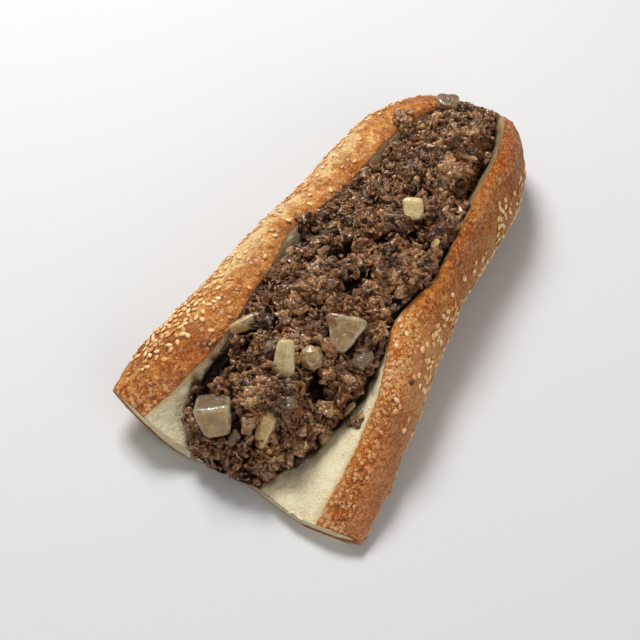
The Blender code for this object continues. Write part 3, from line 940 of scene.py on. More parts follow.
def bread_finish():
    """Crust and crumb, parted by how far each point is from the ridge."""
    bread = BreadFinish()
    inside = (bread.rim + (bread.fine - 0.5) * 1.8 + (bread.patchy - 0.5) * 1.2).between(-0.4, 0.55)
    crust_grain = ((bread.flaky * 0.9 + bread.fine * 0.8 + bread.speck * 0.9 + bread.fleck * 0.35
                    + bread.dots * 0.34 + bread.pitted * 0.5) * (bread.right * 0.3 + 1.0))
    crumb_grain = bread.speck * 0.7 + bread.fine * 0.5 - bread.pore * 0.25
    grain = crust_grain * (1.0 - inside) + crumb_grain * inside
    glazed = ((bread.dots + bread.fleck * 0.5).between(0.0, 1.3) * (1.0 - inside)
              * (bread.right * bread.near * 0.3 + 0.22))
    bread.set(Base_Color=bread.mix(inside, bread.crust_colour(), bread.crumb_colour()),
              Roughness=inside * 0.4 + (bread.fine * 0.22 + 0.36), Specular_IOR_Level=0.2,
              Coat_Weight=glazed, Coat_Roughness=0.24, Normal=bread.bump(grain, 1.1),
              Subsurface_Weight=0.06, Subsurface_Radius=(1.0, 0.6, 0.3), Subsurface_Scale=0.0012)
    return bread.material


add_roll(bread_finish())

# %% [markdown]
# ## The heap of steak
#
# Chopped steak lies as a mound whose top is a few smooth curves, the same ones that drew its plain
# solid. What shows is made in two layers. Underneath is a core, a single closed surface a little
# lower than the mound, covered in relief. On it lie separate clumps, slices and shreds, which give
# the overhangs and the dark gaps that a single surface can't. A few hollows and humps are placed
# where the picture shows them, through the camera.

# %% Mound
CLEARANCE = 0.45
HEAP_TO = 103.5
HEAP_EDGE = 1.6
HEAP_CREST = ((-119, 11), (-112, 18), (-104, 27), (-95, 32.5), (-80, 37.5), (-60, 42.5), (-40, 45.5),
              (0, 47), (40, 46.5), (80, 43.5), (95, 40.5), (106, 36))
# Height, spacing across, spacing along and phase of the mound's broad lumps.
HEAP_LUMPS = ((2.2, 36.0, 41.0, 0.4), (1.7, -27.0, 31.0, 1.9), (1.0, 20.0, -23.0, 4.2))
HEAP_ROWS, HEAP_COLUMNS, HEAP_UNDER, HEAP_CAP = 430, 165, 16, 9
TINY = 0.002    # half the step that slopes are measured over
CORE_SINK = 3.6
HOLLOW_DEPTH = 6.0

# Pixel, width and height in millimetres of the humps and hollows that the picture shows.
MOUNDS = (
    ((272, 404), 12.0, 3.2), ((278, 374), 8.0, 2.0), ((213, 368), 7.0, -13.0), ((224, 349), 6.0, -11.0),
    ((203, 396), 5.0, -9.0), ((246, 337), 5.0, -6.0), ((278, 326), 4.5, -6.0), ((236, 424), 5.0, -6.0),
    ((316, 384), 6.0, -4.5), ((300, 392), 4.0, -3.0), ((350, 392), 5.0, -6.0), ((318, 228), 5.5, -7.0),
    ((316, 249), 4.5, -6.0), ((300, 236), 5.0, -5.0), ((345, 240), 4.5, -6.0), ((384, 230), 4.0, -7.0),
    ((414, 231), 4.5, -7.0), ((350, 271), 5.0, -7.0), ((372, 246), 3.5, -6.0), ((300, 262), 3.5, -5.0),
    ((275, 305), 4.0, -6.0), ((345, 288), 3.5, -6.0), ((398, 262), 3.5, -5.0), ((392, 300), 5.0, -5.0),
    ((425, 246), 4.0, -5.0), ((420, 146), 3.5, -6.0), ((482, 165), 4.0, -5.0), ((455, 190), 4.0, -5.0),
    ((392, 168), 4.0, -5.0), ((330, 330), 4.0, -5.0), ((300, 322), 3.5, -5.0))
MOUND_WITHIN = 2.2    # pixels that a grid point may be from the pixel named
DEEP = -8.0    # hollows lower than this stay open: nothing is laid in them

# Pixel and width in pixels of places where the meat caught on the griddle and is reddish brown.
CAUGHT = (((314, 388), 10.0), ((222, 366), 9.0), ((341, 417), 7.0), ((331, 426), 6.0),
          ((306, 326), 5.0), ((436, 224), 8.0), ((296, 412), 5.0), ((354, 420), 8.0),
          ((226, 404), 5.0), ((372, 236), 6.0))


def mound_grid(share):
    """Underside and top of the mound at rows of equal spacing and the given shares of its width."""
    y, share = np.meshgrid(np.linspace(CUT_Y, HEAP_TO, HEAP_ROWS), share, indexing="ij")
    left, right = along(HEAP_LEFT_U, y), along(HEAP_RIGHT_U, y)
    u = left + (right - left) * share
    across = crumb_surface(y, u + TINY) - crumb_surface(y, u - TINY)
    lengthways = crumb_surface(y + TINY, u) - crumb_surface(y - TINY, u)
    normal = np.cross(across, lengthways)
    normal /= np.linalg.norm(normal, axis=-1, keepdims=True)
    under = crumb_surface(y, u) + CLEARANCE * normal
    first = crumb_surface(y[:, :1], left[:, :1]) + CLEARANCE * normal[:, :1]
    last = crumb_surface(y[:, :1], right[:, :1]) + CLEARANCE * normal[:, -1:]
    line = first + (last - first) * share[..., None]
    bulge = (1 - (2 * share - 1)**2)**0.8
    lift = np.maximum(along(HEAP_CREST, y) - line[..., 2], HEAP_EDGE) * bulge
    lumps = sum(height * np.sin(2 * math.pi * line[..., 0] / wide + phase)
                * np.sin(2 * math.pi * y / long + 2 * phase) for height, wide, long, phase in HEAP_LUMPS)
    top = line.copy()
    top[..., 2] += HEAP_EDGE + lift + lumps * bulge
    top[..., 1] -= CUT_LEAN * lift * (1 - rise(*CUT_BEND_Y, y))
    return under, top, bulge


def nearest_seen(points, pixel, within, facing=True):
    """Index and distance of the grid point nearest the camera, of those that face it and are seen within
    some pixels of the one named. Where the grid is too coarse for that, the closest points count."""
    seen, depth = seen_at(points)
    away = np.hypot(seen[..., 0] - pixel[0], seen[..., 1] - pixel[1])
    depth = np.where(facing & (away < max(within, away.min() + 0.5)), depth, np.inf)
    place = np.unravel_index(np.argmin(depth), depth.shape)
    return place, depth[place]


def open_normals(points):
    """Upward normals of a grid that isn't a loop."""
    normal = np.cross(np.gradient(points, axis=1), np.gradient(points, axis=0))
    return normal / np.linalg.norm(normal, axis=-1, keepdims=True)


def caught(points):
    """How much points are browned, from a bell curve round each place in CAUGHT."""
    seen, _ = seen_at(points)
    return sum(np.exp(-((seen - np.array(pixel))**2).sum(-1) / width**2) for pixel, width in CAUGHT)


mound_under, mound_top, mound_bulge = mound_grid(np.linspace(0, 1, HEAP_COLUMNS))
core_top = mound_top.copy()
core_top[..., 2] -= CORE_SINK * np.clip(mound_bulge * 1.6, 0, 1)
level = core_top[..., 2].copy()
deep_pits = []
for pixel, width, lift in MOUNDS:
    middle = mound_top[nearest_seen(mound_top, pixel, MOUND_WITHIN)[0]]
    if lift < DEEP:
        deep_pits.append((*middle[:2], width))
    way = np.hypot(mound_top[..., 0] - middle[0], mound_top[..., 1] - middle[1])
    core_top[..., 2] += lift * np.exp(-(way / width)**4) * np.clip(mound_bulge * 1.5, 0, 1)
hollows = np.clip(2.2 * waves(core_top, 8.5, 70) - 0.45, 0, 1)
core_top[..., 2] -= HOLLOW_DEPTH * hollows * np.clip(mound_bulge * 1.5, 0, 1)
core_top[..., 2] = np.maximum(core_top[..., 2], mound_under[..., 2] + 0.8)
pit = level - core_top[..., 2]
core_normals = open_normals(core_top)
deep_pits = np.array(deep_pits)
print("mound spans", core_top.reshape(-1, 3).min(0).round(1), core_top.reshape(-1, 3).max(0).round(1))

# %% [markdown]
# ## Finish of the steak
#
# Griddled steak is grey-brown and reddish where it caught. Shade is painted into its colour: it is dark
# in its creases, at the foot of each clump and in thin lines that stand for the gaps between clusters,
# and its grey patches are partly grey fat and partly a painted sheen. Each clump carries a number for
# its tone, painted lighter on its higher parts, and each point a number for how deep in a crease it
# lies, which sets its painted shade, so that one finish gives hundreds of slightly different pieces.

# %% Finish: chopped steak
STEAK_BROWNS = ((0.0, shade(54, 27, 10)), (0.25, shade(104, 63, 32)), (0.5, shade(152, 101, 57)),
                (0.75, shade(196, 142, 92)), (1.0, shade(232, 188, 138)))


def steak_finish():
    """Brown by `tone` and noise, with painted shade: dark in creases, in the hollows of the curls and along
    the thin `gaps` where broad noise is at its middle. The grey patches are partly grey fat and partly a
    painted sheen. It has a patchy wet gloss, and its curled ridges follow `fibre`, the clump's own
    coordinates."""
    steak = Finish("chopped steak")
    tone, crease = steak.mark("tone"), steak.mark("crease")
    fibre = steak.stretched(steak.mark("fibre", "Vector"), 0.5, 1.0, 1.0)
    curls = (steak.noise(1.5, 1.0, 0.5, fibre, 1.3) - 0.5).size() * 4.0
    broad, small = steak.noise(9, 3.0, 0.6), steak.noise(2.6, 2.0, 0.6)
    fine = steak.noise(0.9, 3.0, 0.65)
    # the crease term makes it darker, as painted shade
    warm = (tone * 0.66 + (broad - 0.5) * 0.7 + (small - 0.5) * 0.8 + (fine - 0.5) * 0.8
            + curls * 0.14 - crease * 0.25 + 0.065)
    browned = (steak.noise(9, 2.0, 0.5) + (small - 0.5) * 0.7 + (tone - 0.5) * 0.1
               + steak.mark("caught") * 0.3).between(0.58, 0.70)
    # grey patches: partly grey fat, partly a painted sheen
    grey = steak.noise(8, 2.0, 0.5, steak.stretched(steak.place, 1.0, 0.9, 1.1)) + (fine - 0.5) * 0.4
    gaps = (steak.noise(12, 2.0, 0.55, steak.place, 0.6) - 0.5).size().between(0.030, 0.008)
    # painted shade: dark in creases, in the hollows of the curls and along the thin gaps
    dark = (crease.between(0.2, 0.88) * 0.88 + curls.between(0.25, 0.0) * 0.5
            + gaps * 0.5).between(0.0, 1.0)
    colour = steak.tinted(steak.ramp(warm, STEAK_BROWNS),
                          (browned * 0.65, shade(150, 76, 28)),
                          (grey.between(0.54, 0.66) * 0.52, shade(164, 137, 110)),
                          (dark, shade(32, 14, 6)))
    wet = (steak.noise(3.4, 3.0, 0.6) + (fine - 0.5) * 0.5).between(0.40, 0.52)
    steak.set(Base_Color=colour, Roughness=0.55 - wet * 0.30, Specular_IOR_Level=0.25,
              Coat_Weight=wet * (1.0 - dark * 0.9), Coat_Roughness=0.13,
              Normal=steak.bump(curls * 0.8 + fine * 0.7 + small * 0.6, 0.72))
    return steak.material


steak = steak_finish()

# %% [markdown]
# The core gets its relief here: rounded lumps with creases between them, then finer folds. It is painted
# dark in its creases and hollows, as shade, because what shows of it lies deep between the clumps.

# %% Core of the heap
def add_core():
    """The core as one closed piece: loops over its top and back under it, drawn in to a point at each
    end. The cap at the cut bulges a little and is folded."""
    top_way, lot = pebbles(core_top + 1.8 * drift(core_top, 6.0, 71), 5.6, 72)
    lumps = np.clip(1 - top_way**2, 0, 1)
    bent = core_top + 1.4 * drift(core_top, 3.4, 73)
    folded = folds(bent, 3.3, 2, 74)
    fine = folds(bent, 1.5, 1, 75)
    relief = 2.4 * (lumps - 0.6) + 1.2 * (folded - 0.4) + 0.5 * (fine - 0.3)
    relief = relief * np.clip(mound_bulge * 2.5, 0, 1)
    top = core_top + core_normals * relief[..., None]
    top = top + 0.5 * drift(core_top, 2.2, 76) * mound_bulge[..., None]
    top[..., 2] = np.maximum(top[..., 2], mound_under[..., 2] + 0.5)
    places = np.linspace(0, HEAP_COLUMNS - 1, HEAP_UNDER).round().astype(int)[::-1]
    loops = np.concatenate([top, mound_under[:, places]], 1)
    # painted shade: darker in creases and hollows, and dark all over the underside
    crease = np.clip(0.55 + 0.9 * (1 - lumps) + 0.5 * (0.35 - folded) + 0.08 * pit, 0, 1)
    crease = np.concatenate([crease, np.ones((HEAP_ROWS, HEAP_UNDER))], 1)
    tone = np.concatenate([lot * 0.8, np.zeros((HEAP_ROWS, HEAP_UNDER))], 1)
    fibre = np.concatenate([bent, mound_under[:, places]], 1)
    middle = loops[0].mean(0)
    steps = (np.arange(HEAP_CAP, 0, -1) / (HEAP_CAP + 1))[:, None, None]
    cap = loops[0] + (middle - loops[0]) * steps
    bulging = 1.2 * (1 - (1 - steps[..., 0])**2)
    cap[..., 1] -= bulging + 1.4 * (folds(cap, 4.0, 2, 77) - 0.4) * steps[..., 0]
    rings = np.concatenate([cap, loops])[None]
    marks = {"crease": np.concatenate([np.repeat(crease[:1], HEAP_CAP, 0) * 0.5, crease])[None],
             "tone": np.concatenate([np.repeat(tone[:1], HEAP_CAP, 0), tone])[None],
             "fibre": np.concatenate([cap, fibre])[None], "caught": caught(rings)}
    first = (middle - np.array((0, 1.5, 0)))[None]
    last = loops[-1].mean(0)[None]
    add_rings("steak_core", rings, first, last, marks, steak, ["filling"])


add_core()

# %% [markdown]
# ## Where things lie on the food
#
# Some pieces are placed where the picture shows them. `seen_on_food` looks through the camera at a
# pixel and gives the point of bread or meat that is seen there, with its normal, so that a piece put
# there lies on what carries it from every side.

# %% Places through the camera
SURFACE_WITHIN = 1.6    # pixels that a grid point may be from the pixel named
roll_outward = grid_normals(roll_surface)
eye_place = EYE / MM + MIDDLE    # the camera in the drawing's millimetres


def seen_on_food(pixel):
    """Point and outward normal of the surface that is nearest the camera at a pixel."""
    found = []
    for points, normals in ((roll_surface, roll_outward), (core_top, core_normals)):
        facing = ((eye_place - points) * normals).sum(-1) > 0
        place, depth = nearest_seen(points, pixel, SURFACE_WITHIN, facing)
        found.append((depth, points[place], normals[place]))
    nearest = min(found, key=lambda one: one[0])
    return nearest[1], nearest[2]


print("seen in the middle of the picture:", seen_on_food((PICTURE / 2, PICTURE / 2))[0].round(1))

# %% [markdown]
# ## Pieces of onion
#
# Onion softens on the griddle into wet, see-through pieces, each still showing the lines of its
# layer. A piece is a ball of rings pressed towards a box: each direction is divided by a high-power
# mean of its parts, which leaves flat sides and rounded edges. It is then narrowed at one end and
# turned as its plain solid is, with its middle on that solid's middle. A highlight is painted paler
# along its edges. Three pieces have a look of their own: the block's upper face is painted darker, as
# shade, one is browned at a corner and one all over.

# %% Onion
ONIONS = {    # size, narrowing of the near end, turn in degrees, tone, bow, squareness
    "onion_block": ((16.5, 14.0, 16.0), 0.68, (65, -10, 31), 0.27, 0.0, 7.0),
    "onion_wedge": ((7.0, 16.0, 5.0), 1.45, (52, 4, 24), 1.7, -0.05, 5.0),
    "onion_corner": ((20.0, 16.0, 4.5), 0.25, (34, 2, 14), 0.14, -0.012, 6.0),
    "onion_leaf": ((5.0, 17.0, 5.5), 0.7, (8, -30, -40), 0.38, -0.03, 4.0),
    "onion_cube": ((10.0, 10.0, 8.0), 0.8, (30, 0, 26), 1.05, 0.0, 5.0),
    "onion_slip": ((11.0, 17.0, 4.5), 0.45, (36, -4, 2), 0.55, -0.03, 3.5),
    "onion_glossy": ((11.5, 9.5, 7.0), 0.75, (20, 6, 30), 0.24, -0.03, 2.3),
    "onion_brown": ((9.0, 10.0, 6.0), 0.75, (12, 10, 10), -0.25, -0.03, 2.5),
    "onion_end": ((11.5, 10.0, 4.0), 0.8, (-6, 4, 24), 0.0, 0.0, 4.0),
}
# Smaller bits: pixel, size, turn, tone, squareness.
ONION_BITS = (
    ((304, 337), (7.0, 5.0, 4.0), (20, 0, 30), 0.02, 2.6),
    ((262, 363), (9.0, 3.6, 3.0), (15, -10, 35), 0.5, 3.4),
    ((377, 193), (6.0, 4.5, 3.5), (10, 10, -30), 0.1, 2.6),
    ((436, 247), (5.0, 3.0, 2.6), (10, 0, 60), 0.6, 3.2),
    ((421, 254), (3.6, 2.6, 2.0), (10, 0, 20), 0.6, 3.2),
    ((348, 409), (2.8, 8.5, 2.2), (30, 0, -20), 0.4, 3.4),
    ((322, 436), (6.5, 4.2, 3.0), (20, 0, 50), 0.25, 2.6),
    ((300, 444), (6.0, 4.4, 3.0), (30, 0, 10), 0.45, 2.8),
    ((234, 438), (6.0, 8.0, 4.0), (30, 0, -10), 0.0, 2.4),
    ((286, 402), (9.0, 7.0, 5.0), (20, 0, 40), -0.05, 2.4),
    ((401, 151), (9.0, 7.0, 5.0), (20, 0, 30), 0.1, 2.5),
    ((412, 169), (5.5, 4.5, 3.5), (10, 10, 0), 0.0, 2.4),
    ((437, 188), (8.0, 9.0, 5.0), (20, 0, 20), 0.05, 2.4),
    ((384, 172), (4.5, 4.0, 3.0), (10, 0, 10), 0.0, 2.4),
    ((328, 240), (8.0, 6.5, 4.5), (15, 0, 50), 0.0, 2.5),
    ((392, 274), (9.0, 8.0, 5.0), (15, 0, 20), 0.0, 2.5),
)
BIT_NARROWING, BIT_BOW = 0.8, -0.02
ONION_ROWS, ONION_COLUMNS = 36, 52
# painted shade: the block's upper face, which the window lights, is painted darker
TOP_SHADE_FROM, TOP_SHADE_TO, TOP_SHADE_DEPTH = 0.40, 0.49, 0.55    # the face that ends the block's own Y
STAIN_AT, STAIN_WIDTH = (331, 321), 9.0    # browned corner of one piece, in pixels
END_STAIN = 0.5    # how browned the far piece is all over


def ball(rows, columns):
    """Directions of a ball's rings, with the two ends as rings of a single repeated point."""
    polar = np.linspace(0, math.pi, rows + 2)[:, None]
    around = (np.arange(columns) / columns * 2 * math.pi)[None]
    return np.stack([np.sin(polar) * np.cos(around), np.sin(polar) * np.sin(around),
                     np.cos(polar) * np.ones_like(around)], -1)


def onion_shape(size, narrowing, bow, squareness, seed):
    """Pressed ball, tapered along Y, bowed across it, with fine lines and a soft unevenness."""
    way = ball(ONION_ROWS, ONION_COLUMNS)
    way = way + 0.02 * np.sign(way) * np.abs(way)**0.5
    pressed = way / (np.abs(way)**squareness).sum(-1, keepdims=True)**(1 / squareness)
    shape = pressed * 0.5
    taper = narrowing + (1 - narrowing) * (shape[..., 1:2] + 0.5)
    even = np.ones_like(taper)
    shape = shape * np.array(size) * np.concatenate([taper, even, even], -1)
    lane = shape[..., 0] + 0.5 * waves(shape, 6.0, seed)
    parts = np.sort(np.abs(pressed), -1)
    # how near each point is to the box's edges; the finish paints a highlight there
    edge = np.clip((parts[..., 1] - 0.72) / 0.25, 0, 1)
    shape[..., 2] += bow * shape[..., 0]**2
    softness = np.clip((4.2 - squareness) / 1.8, 0, 1)
    shape = shape + (0.45 + 0.9 * softness) * drift(shape, 5.0 - softness, seed + 1)
    shape = shape + (0.14 + 0.3 * softness) * drift(shape, 1.9, seed + 2)
    shape[..., 2] += 0.04 * np.sin(lane * 3.6)
    return shape, lane, edge


def euler_matrix(turn):
    """Turn about X, then Y, then Z, in degrees, as a matrix for rows of points."""
    x, y, z = (math.radians(angle) for angle in turn)
    about_x = np.array(((1, 0, 0), (0, math.cos(x), -math.sin(x)), (0, math.sin(x), math.cos(x))))
    about_y = np.array(((math.cos(y), 0, math.sin(y)), (0, 1, 0), (-math.sin(y), 0, math.cos(y))))
    about_z = np.array(((math.cos(z), -math.sin(z), 0), (math.sin(z), math.cos(z), 0), (0, 0, 1)))
    return (about_z @ about_y @ about_x).T


ONION_CREAMS = ((0.0, shade(142, 118, 88)), (0.25, shade(204, 168, 112)), (0.5, shade(236, 195, 125)),
                (0.8, shade(255, 218, 142)), (1.0, shade(255, 226, 162)))


def onion_finish():
    """See-through flesh with pale lines along `lane`, a painted highlight at its edges and browned where
    stained.
    """
    onion = Finish("soft onion")
    tone, edge, stain = onion.mark("tone"), onion.mark("edge"), onion.mark("stain")
    lines = onion.noise(0.9, 2.0, 0.6, onion.node("ShaderNodeCombineXYZ", {}, {"X": onion.mark("lane")}))
    cloudy, fine = onion.noise(4.5, 2.0, 0.5), onion.noise(1.3, 2.0, 0.6)
    # painted highlight at the edges, plus the real pale lines of the layers
    pale = edge * cloudy.between(0.36, 0.56) * 0.75 + lines.between(0.60, 0.70) * 0.14
    seared = (onion.noise(5, 3.0, 0.6) + (fine - 0.5) * 0.5).between(0.62, 0.76) * 0.14
    burnt = stain * (fine * 0.9 + 0.3) + seared
    colour = onion.tinted(onion.ramp(tone + (cloudy - 0.5) * 0.6 + (lines - 0.5) * 0.4, ONION_CREAMS),
                          (pale, shade(255, 244, 196)),
                          (lines.between(0.42, 0.34) * 0.08, shade(168, 132, 76)),
                          (burnt.between(0.15, 0.8), shade(146, 88, 48)))
    onion.set(Base_Color=colour, Roughness=0.26 - cloudy.between(0.45, 0.6) * 0.14,
              Specular_IOR_Level=0.6, Transmission_Weight=0.36, IOR=1.38, Coat_Weight=0.9,
              Coat_Roughness=0.06, Subsurface_Weight=0.25, Subsurface_Radius=(1.0, 0.85, 0.5),
              Subsurface_Scale=0.002, Normal=onion.bump(lines * 0.3 + fine * 1.2 + cloudy * 3.0, 0.42))
    return onion.material


onion = onion_finish()
onion_places = []


def add_onion(name, size, narrowing, turn, tone, bow, squareness, seed):
    """One piece of onion with its marks, on the middle of the plain solid that it replaces."""
    low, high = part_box(name)
    centre = np.array((low + high) / 2) / MM + MIDDLE
    shape, lane, edge = onion_shape(size, narrowing, bow, squareness, seed)
    # painted shade on the block's upper face
    top_shade = rise(TOP_SHADE_FROM, TOP_SHADE_TO, shape[1:-1, :, 1] / size[1]) * (name == "onion_block")
    shape = shape @ euler_matrix(turn) + centre
    seen, _ = seen_at(shape)
    stain = np.exp(-(((seen - np.array(STAIN_AT))**2).sum(-1) / STAIN_WIDTH**2))
    stain = stain * (name == "onion_corner") + END_STAIN * (name == "onion_end")
    marks = {"lane": lane[None, 1:-1] + 9.0 * seed, "edge": edge[None, 1:-1],
             "stain": stain[None, 1:-1], "tone": tone - TOP_SHADE_DEPTH * top_shade[None]}
    add_rings(name + "_soft", shape[None, 1:-1], shape[None, 0, 0], shape[None, -1, 0], marks,
              onion, [name])
    onion_places.append(shape[2:-2:4, ::4].reshape(-1, 3))


for number, (name, looks) in enumerate(ONIONS.items()):
    add_onion(name, *looks, 200 + 5 * number)


def add_onion_bits():
    """The smaller bits as one piece, each lying where the camera sees its pixel."""
    shapes, lanes, edges = [], [], []
    for number, (pixel, size, turn, _, squareness) in enumerate(ONION_BITS):
        shape, lane, edge = onion_shape(size, BIT_NARROWING, BIT_BOW, squareness, 300 + 5 * number)
        point, normal = seen_on_food(pixel)
        centre = point + normal * (1.9 + 0.1 * size[2])
        shapes.append(shape @ euler_matrix(turn) + centre)
        lanes.append(lane[1:-1] + 5.0 * number)
        edges.append(edge[1:-1])
        onion_places.append(centre[None])
    shapes, lanes, edges = np.stack(shapes), np.stack(lanes), np.stack(edges)
    tones = np.array([bit[3] for bit in ONION_BITS])[:, None, None] * np.ones(lanes.shape)
    # the small bits get half the painted edge highlight
    marks = {"lane": lanes, "edge": edges * 0.5, "stain": np.zeros(lanes.shape), "tone": tones}
    add_rings("onion_bits", shapes[:, 1:-1], shapes[:, 0, 0], shapes[:, -1, 0], marks, onion)


add_onion_bits()
onion_points = np.concatenate(onion_places)
onion_seen, onion_depth = seen_at(onion_points)
PIXELS_PER_MM = PICTURE / 2 / math.tan(FIELD / 2) / (DISTANCE / MM)
JUST_BEHIND = 1.5 * MM    # a ball this little behind the onion's surface still counts as in front
COVER_SHARE = 0.62    # share of a ball's radius within which it hides what it overlaps


def covers_onion(points, radius):
    """Whether balls at points lie in front of a piece of onion as the camera sees it."""
    seen, depth = seen_at(points)
    away = np.linalg.norm(seen[:, None] - onion_seen[None], axis=-1) / PIXELS_PER_MM
    in_front = depth[:, None] < onion_depth[None] + JUST_BEHIND
    return ((away < COVER_SHARE * radius[:, None]) & in_front).any(1)


# %% [markdown]
# ## Clumps, slices and shreds
#
# A clump starts as a ball of rings. It is squashed, made lumpy, and crumpled by `folds`, whose humps
# and creases are stretched along the meat's fibres. Then `drift` pushes its points about, so that
# folds lean over each other. A slice is the same but thin and curled. All the clumps of a kind are
# worked out at once, as one array of (shapes, rows, columns).
#
# Places are found by dropping candidates on the mound, the largest first, and keeping those that
# don't lie too deep in another, hang over the bread or cover a piece of onion.

# %% Clumps
GRAINY_COLUMNS = 40    # shapes with more columns than this also get packed grains
TRIES = 26    # places tried for each clump
SHALLOW = 1.4    # a clump's foot lies no deeper than this below the mound

chance = np.random.default_rng(2026)
from_left = np.hypot(*(core_top - core_top[:, :1])[..., :2].transpose(2, 0, 1))
from_right = np.hypot(*(core_top - core_top[:, -1:])[..., :2].transpose(2, 0, 1))
from_cut = core_top[..., 1] - core_top[:1, :, 1]
from_far = np.abs(core_top[-1:, :, 1] - core_top[..., 1])
to_edge = np.minimum(np.minimum(from_left, from_right), np.minimum(from_cut * 0.9, from_far))


def turned(shapes, spin, lean, towards):
    """Turns each shape by spin about its own height, then leans it towards a direction."""
    c, s = np.cos(spin)[:, None, None], np.sin(spin)[:, None, None]
    x, y, z = shapes[..., 0], shapes[..., 1], shapes[..., 2]
    x, y = c * x - s * y, s * x + c * y
    c, s = np.cos(towards)[:, None, None], np.sin(towards)[:, None, None]
    ahead, aside = c * x + s * y, -s * x + c * y
    cl, sl = np.cos(lean)[:, None, None], np.sin(lean)[:, None, None]
    ahead, z = cl * ahead + sl * z, -sl * ahead + cl * z
    return np.stack([c * ahead - s * aside, s * ahead + c * aside, z], -1)


def crumpled(radii, rows, columns, curl, crumple, seed):
    """Crumpled balls: radius times lumpy noise, plus folds across the fibres and, on large ones, grains
    packed together, then drift. Folds are at least two steps of the rings wide, so no point spikes."""
    count = len(radii)
    way = ball(rows, columns)[None]
    lot = (np.arange(count) * 37.7 + seed * 11.3)[:, None, None, None] * np.array((1.0, 0.31, 0.17))
    lumpy = 1 + 0.42 * waves(way * 1.15 + lot, 1.0, seed) + 0.2 * waves(way * 2.1 + lot, 1.0, seed + 6)
    shape = way * radii[:, None, None] * lumpy[..., None]
    fibres = shape * np.array((0.75, 1.0, 1.0)) + lot
    step = (radii.mean(1) * 2 * math.pi / columns)[:, None, None]
    bent = fibres + 0.7 * drift(fibres, 3.0, seed + 1)
    coarse = np.maximum(step * 3.4, 2.6)[..., None]
    deep = folds(bent / coarse, 1.0, 1, seed + 2)
    fine = folds(bent / (coarse * 0.62), 1.0, 1, seed + 3)
    size = radii.mean(1)[:, None, None]
    height = crumple * np.minimum(size / 3.6, 1) * (1.5 * (deep - 0.35) + 0.55 * (fine - 0.35))
    if columns > GRAINY_COLUMNS:
        way_off, _ = pebbles(bent, 3.0, seed + 5)
        grains = np.clip(1 - (way_off / 0.62)**2, 0, 1)
        height = height + 0.9 * (grains - 0.5)
        deep = deep * (0.45 + 0.75 * grains)
    thin = (radii[:, 2] / radii[:, 0])[:, None, None]
    shape = shape + way * height[..., None] * np.clip(thin * 1.6, 0.4, 1)[..., None]
    shape = shape + 0.9 * drift(shape + lot, 3.6, seed + 4) * np.clip(size / 4, 0.3, 1)[..., None]
    reach = radii[:, :1, None]
    shape[..., 2] += curl[:, None, None] * (shape[..., 0]**2 - reach**2 / 3) / reach
    # how deep in a fold each point lies; the finish paints it as shade
    crease = np.clip(1.5 * (0.32 - deep) + 0.5 * (0.25 - fine), 0, 1)
    return shape, crease, fibres


def is_free(row, column, radius, spacing, overhang, taken):
    """Whether a disc on the mound is clear: of the edge by all but overhang of its radius, of hollows,
    of the discs taken by spacing times the sum of the radii, and of onion as the camera sees it."""
    point = core_top[row, column]
    if to_edge[row, column] < radius * (1 - overhang) or pit[row, column] > SHALLOW:
        return False
    from_pits = np.hypot(*(deep_pits[:, :2] - point[:2]).T)
    if (from_pits < 0.8 * deep_pits[:, 2] + 0.7 * radius).any():
        return False
    others = np.array(taken)
    if (np.linalg.norm(others[:, :3] - point, axis=1) < spacing * (others[:, 3] + radius)).any():
        return False
    middle = point + core_normals[row, column] * radius * 0.4
    return not covers_onion(middle[None], np.array((radius,)))[0]


def settle(wanted, spacing, overhang, taken):
    """Rows, columns and radii of the discs of the wanted radii that find a free place on the mound."""
    placed = []
    for radius in wanted:
        for _ in range(TRIES):
            row, column = int(chance.integers(2, HEAP_ROWS - 3)), int(chance.integers(2, HEAP_COLUMNS - 2))
            if is_free(row, column, radius, spacing, overhang, taken):
                taken.append((*core_top[row, column], radius))
                placed.append((row, column, radius))
                break
    return placed


def add_clumps(name, wanted, spacing, overhang, flat, rings, lifted, crumple, curl_by, seed):
    """Drops clumps of the wanted radii on the mound and makes them as one piece."""
    placed = settle(wanted, spacing, overhang, taken_places)
    row, column = (np.array([place[axis] for place in placed]) for axis in (0, 1))
    radius = np.array([place[2] for place in placed])
    add_shapes(name, core_top[row, column], core_normals[row, column], radius, flat, rings, lifted,
               crumple, curl_by, seed)


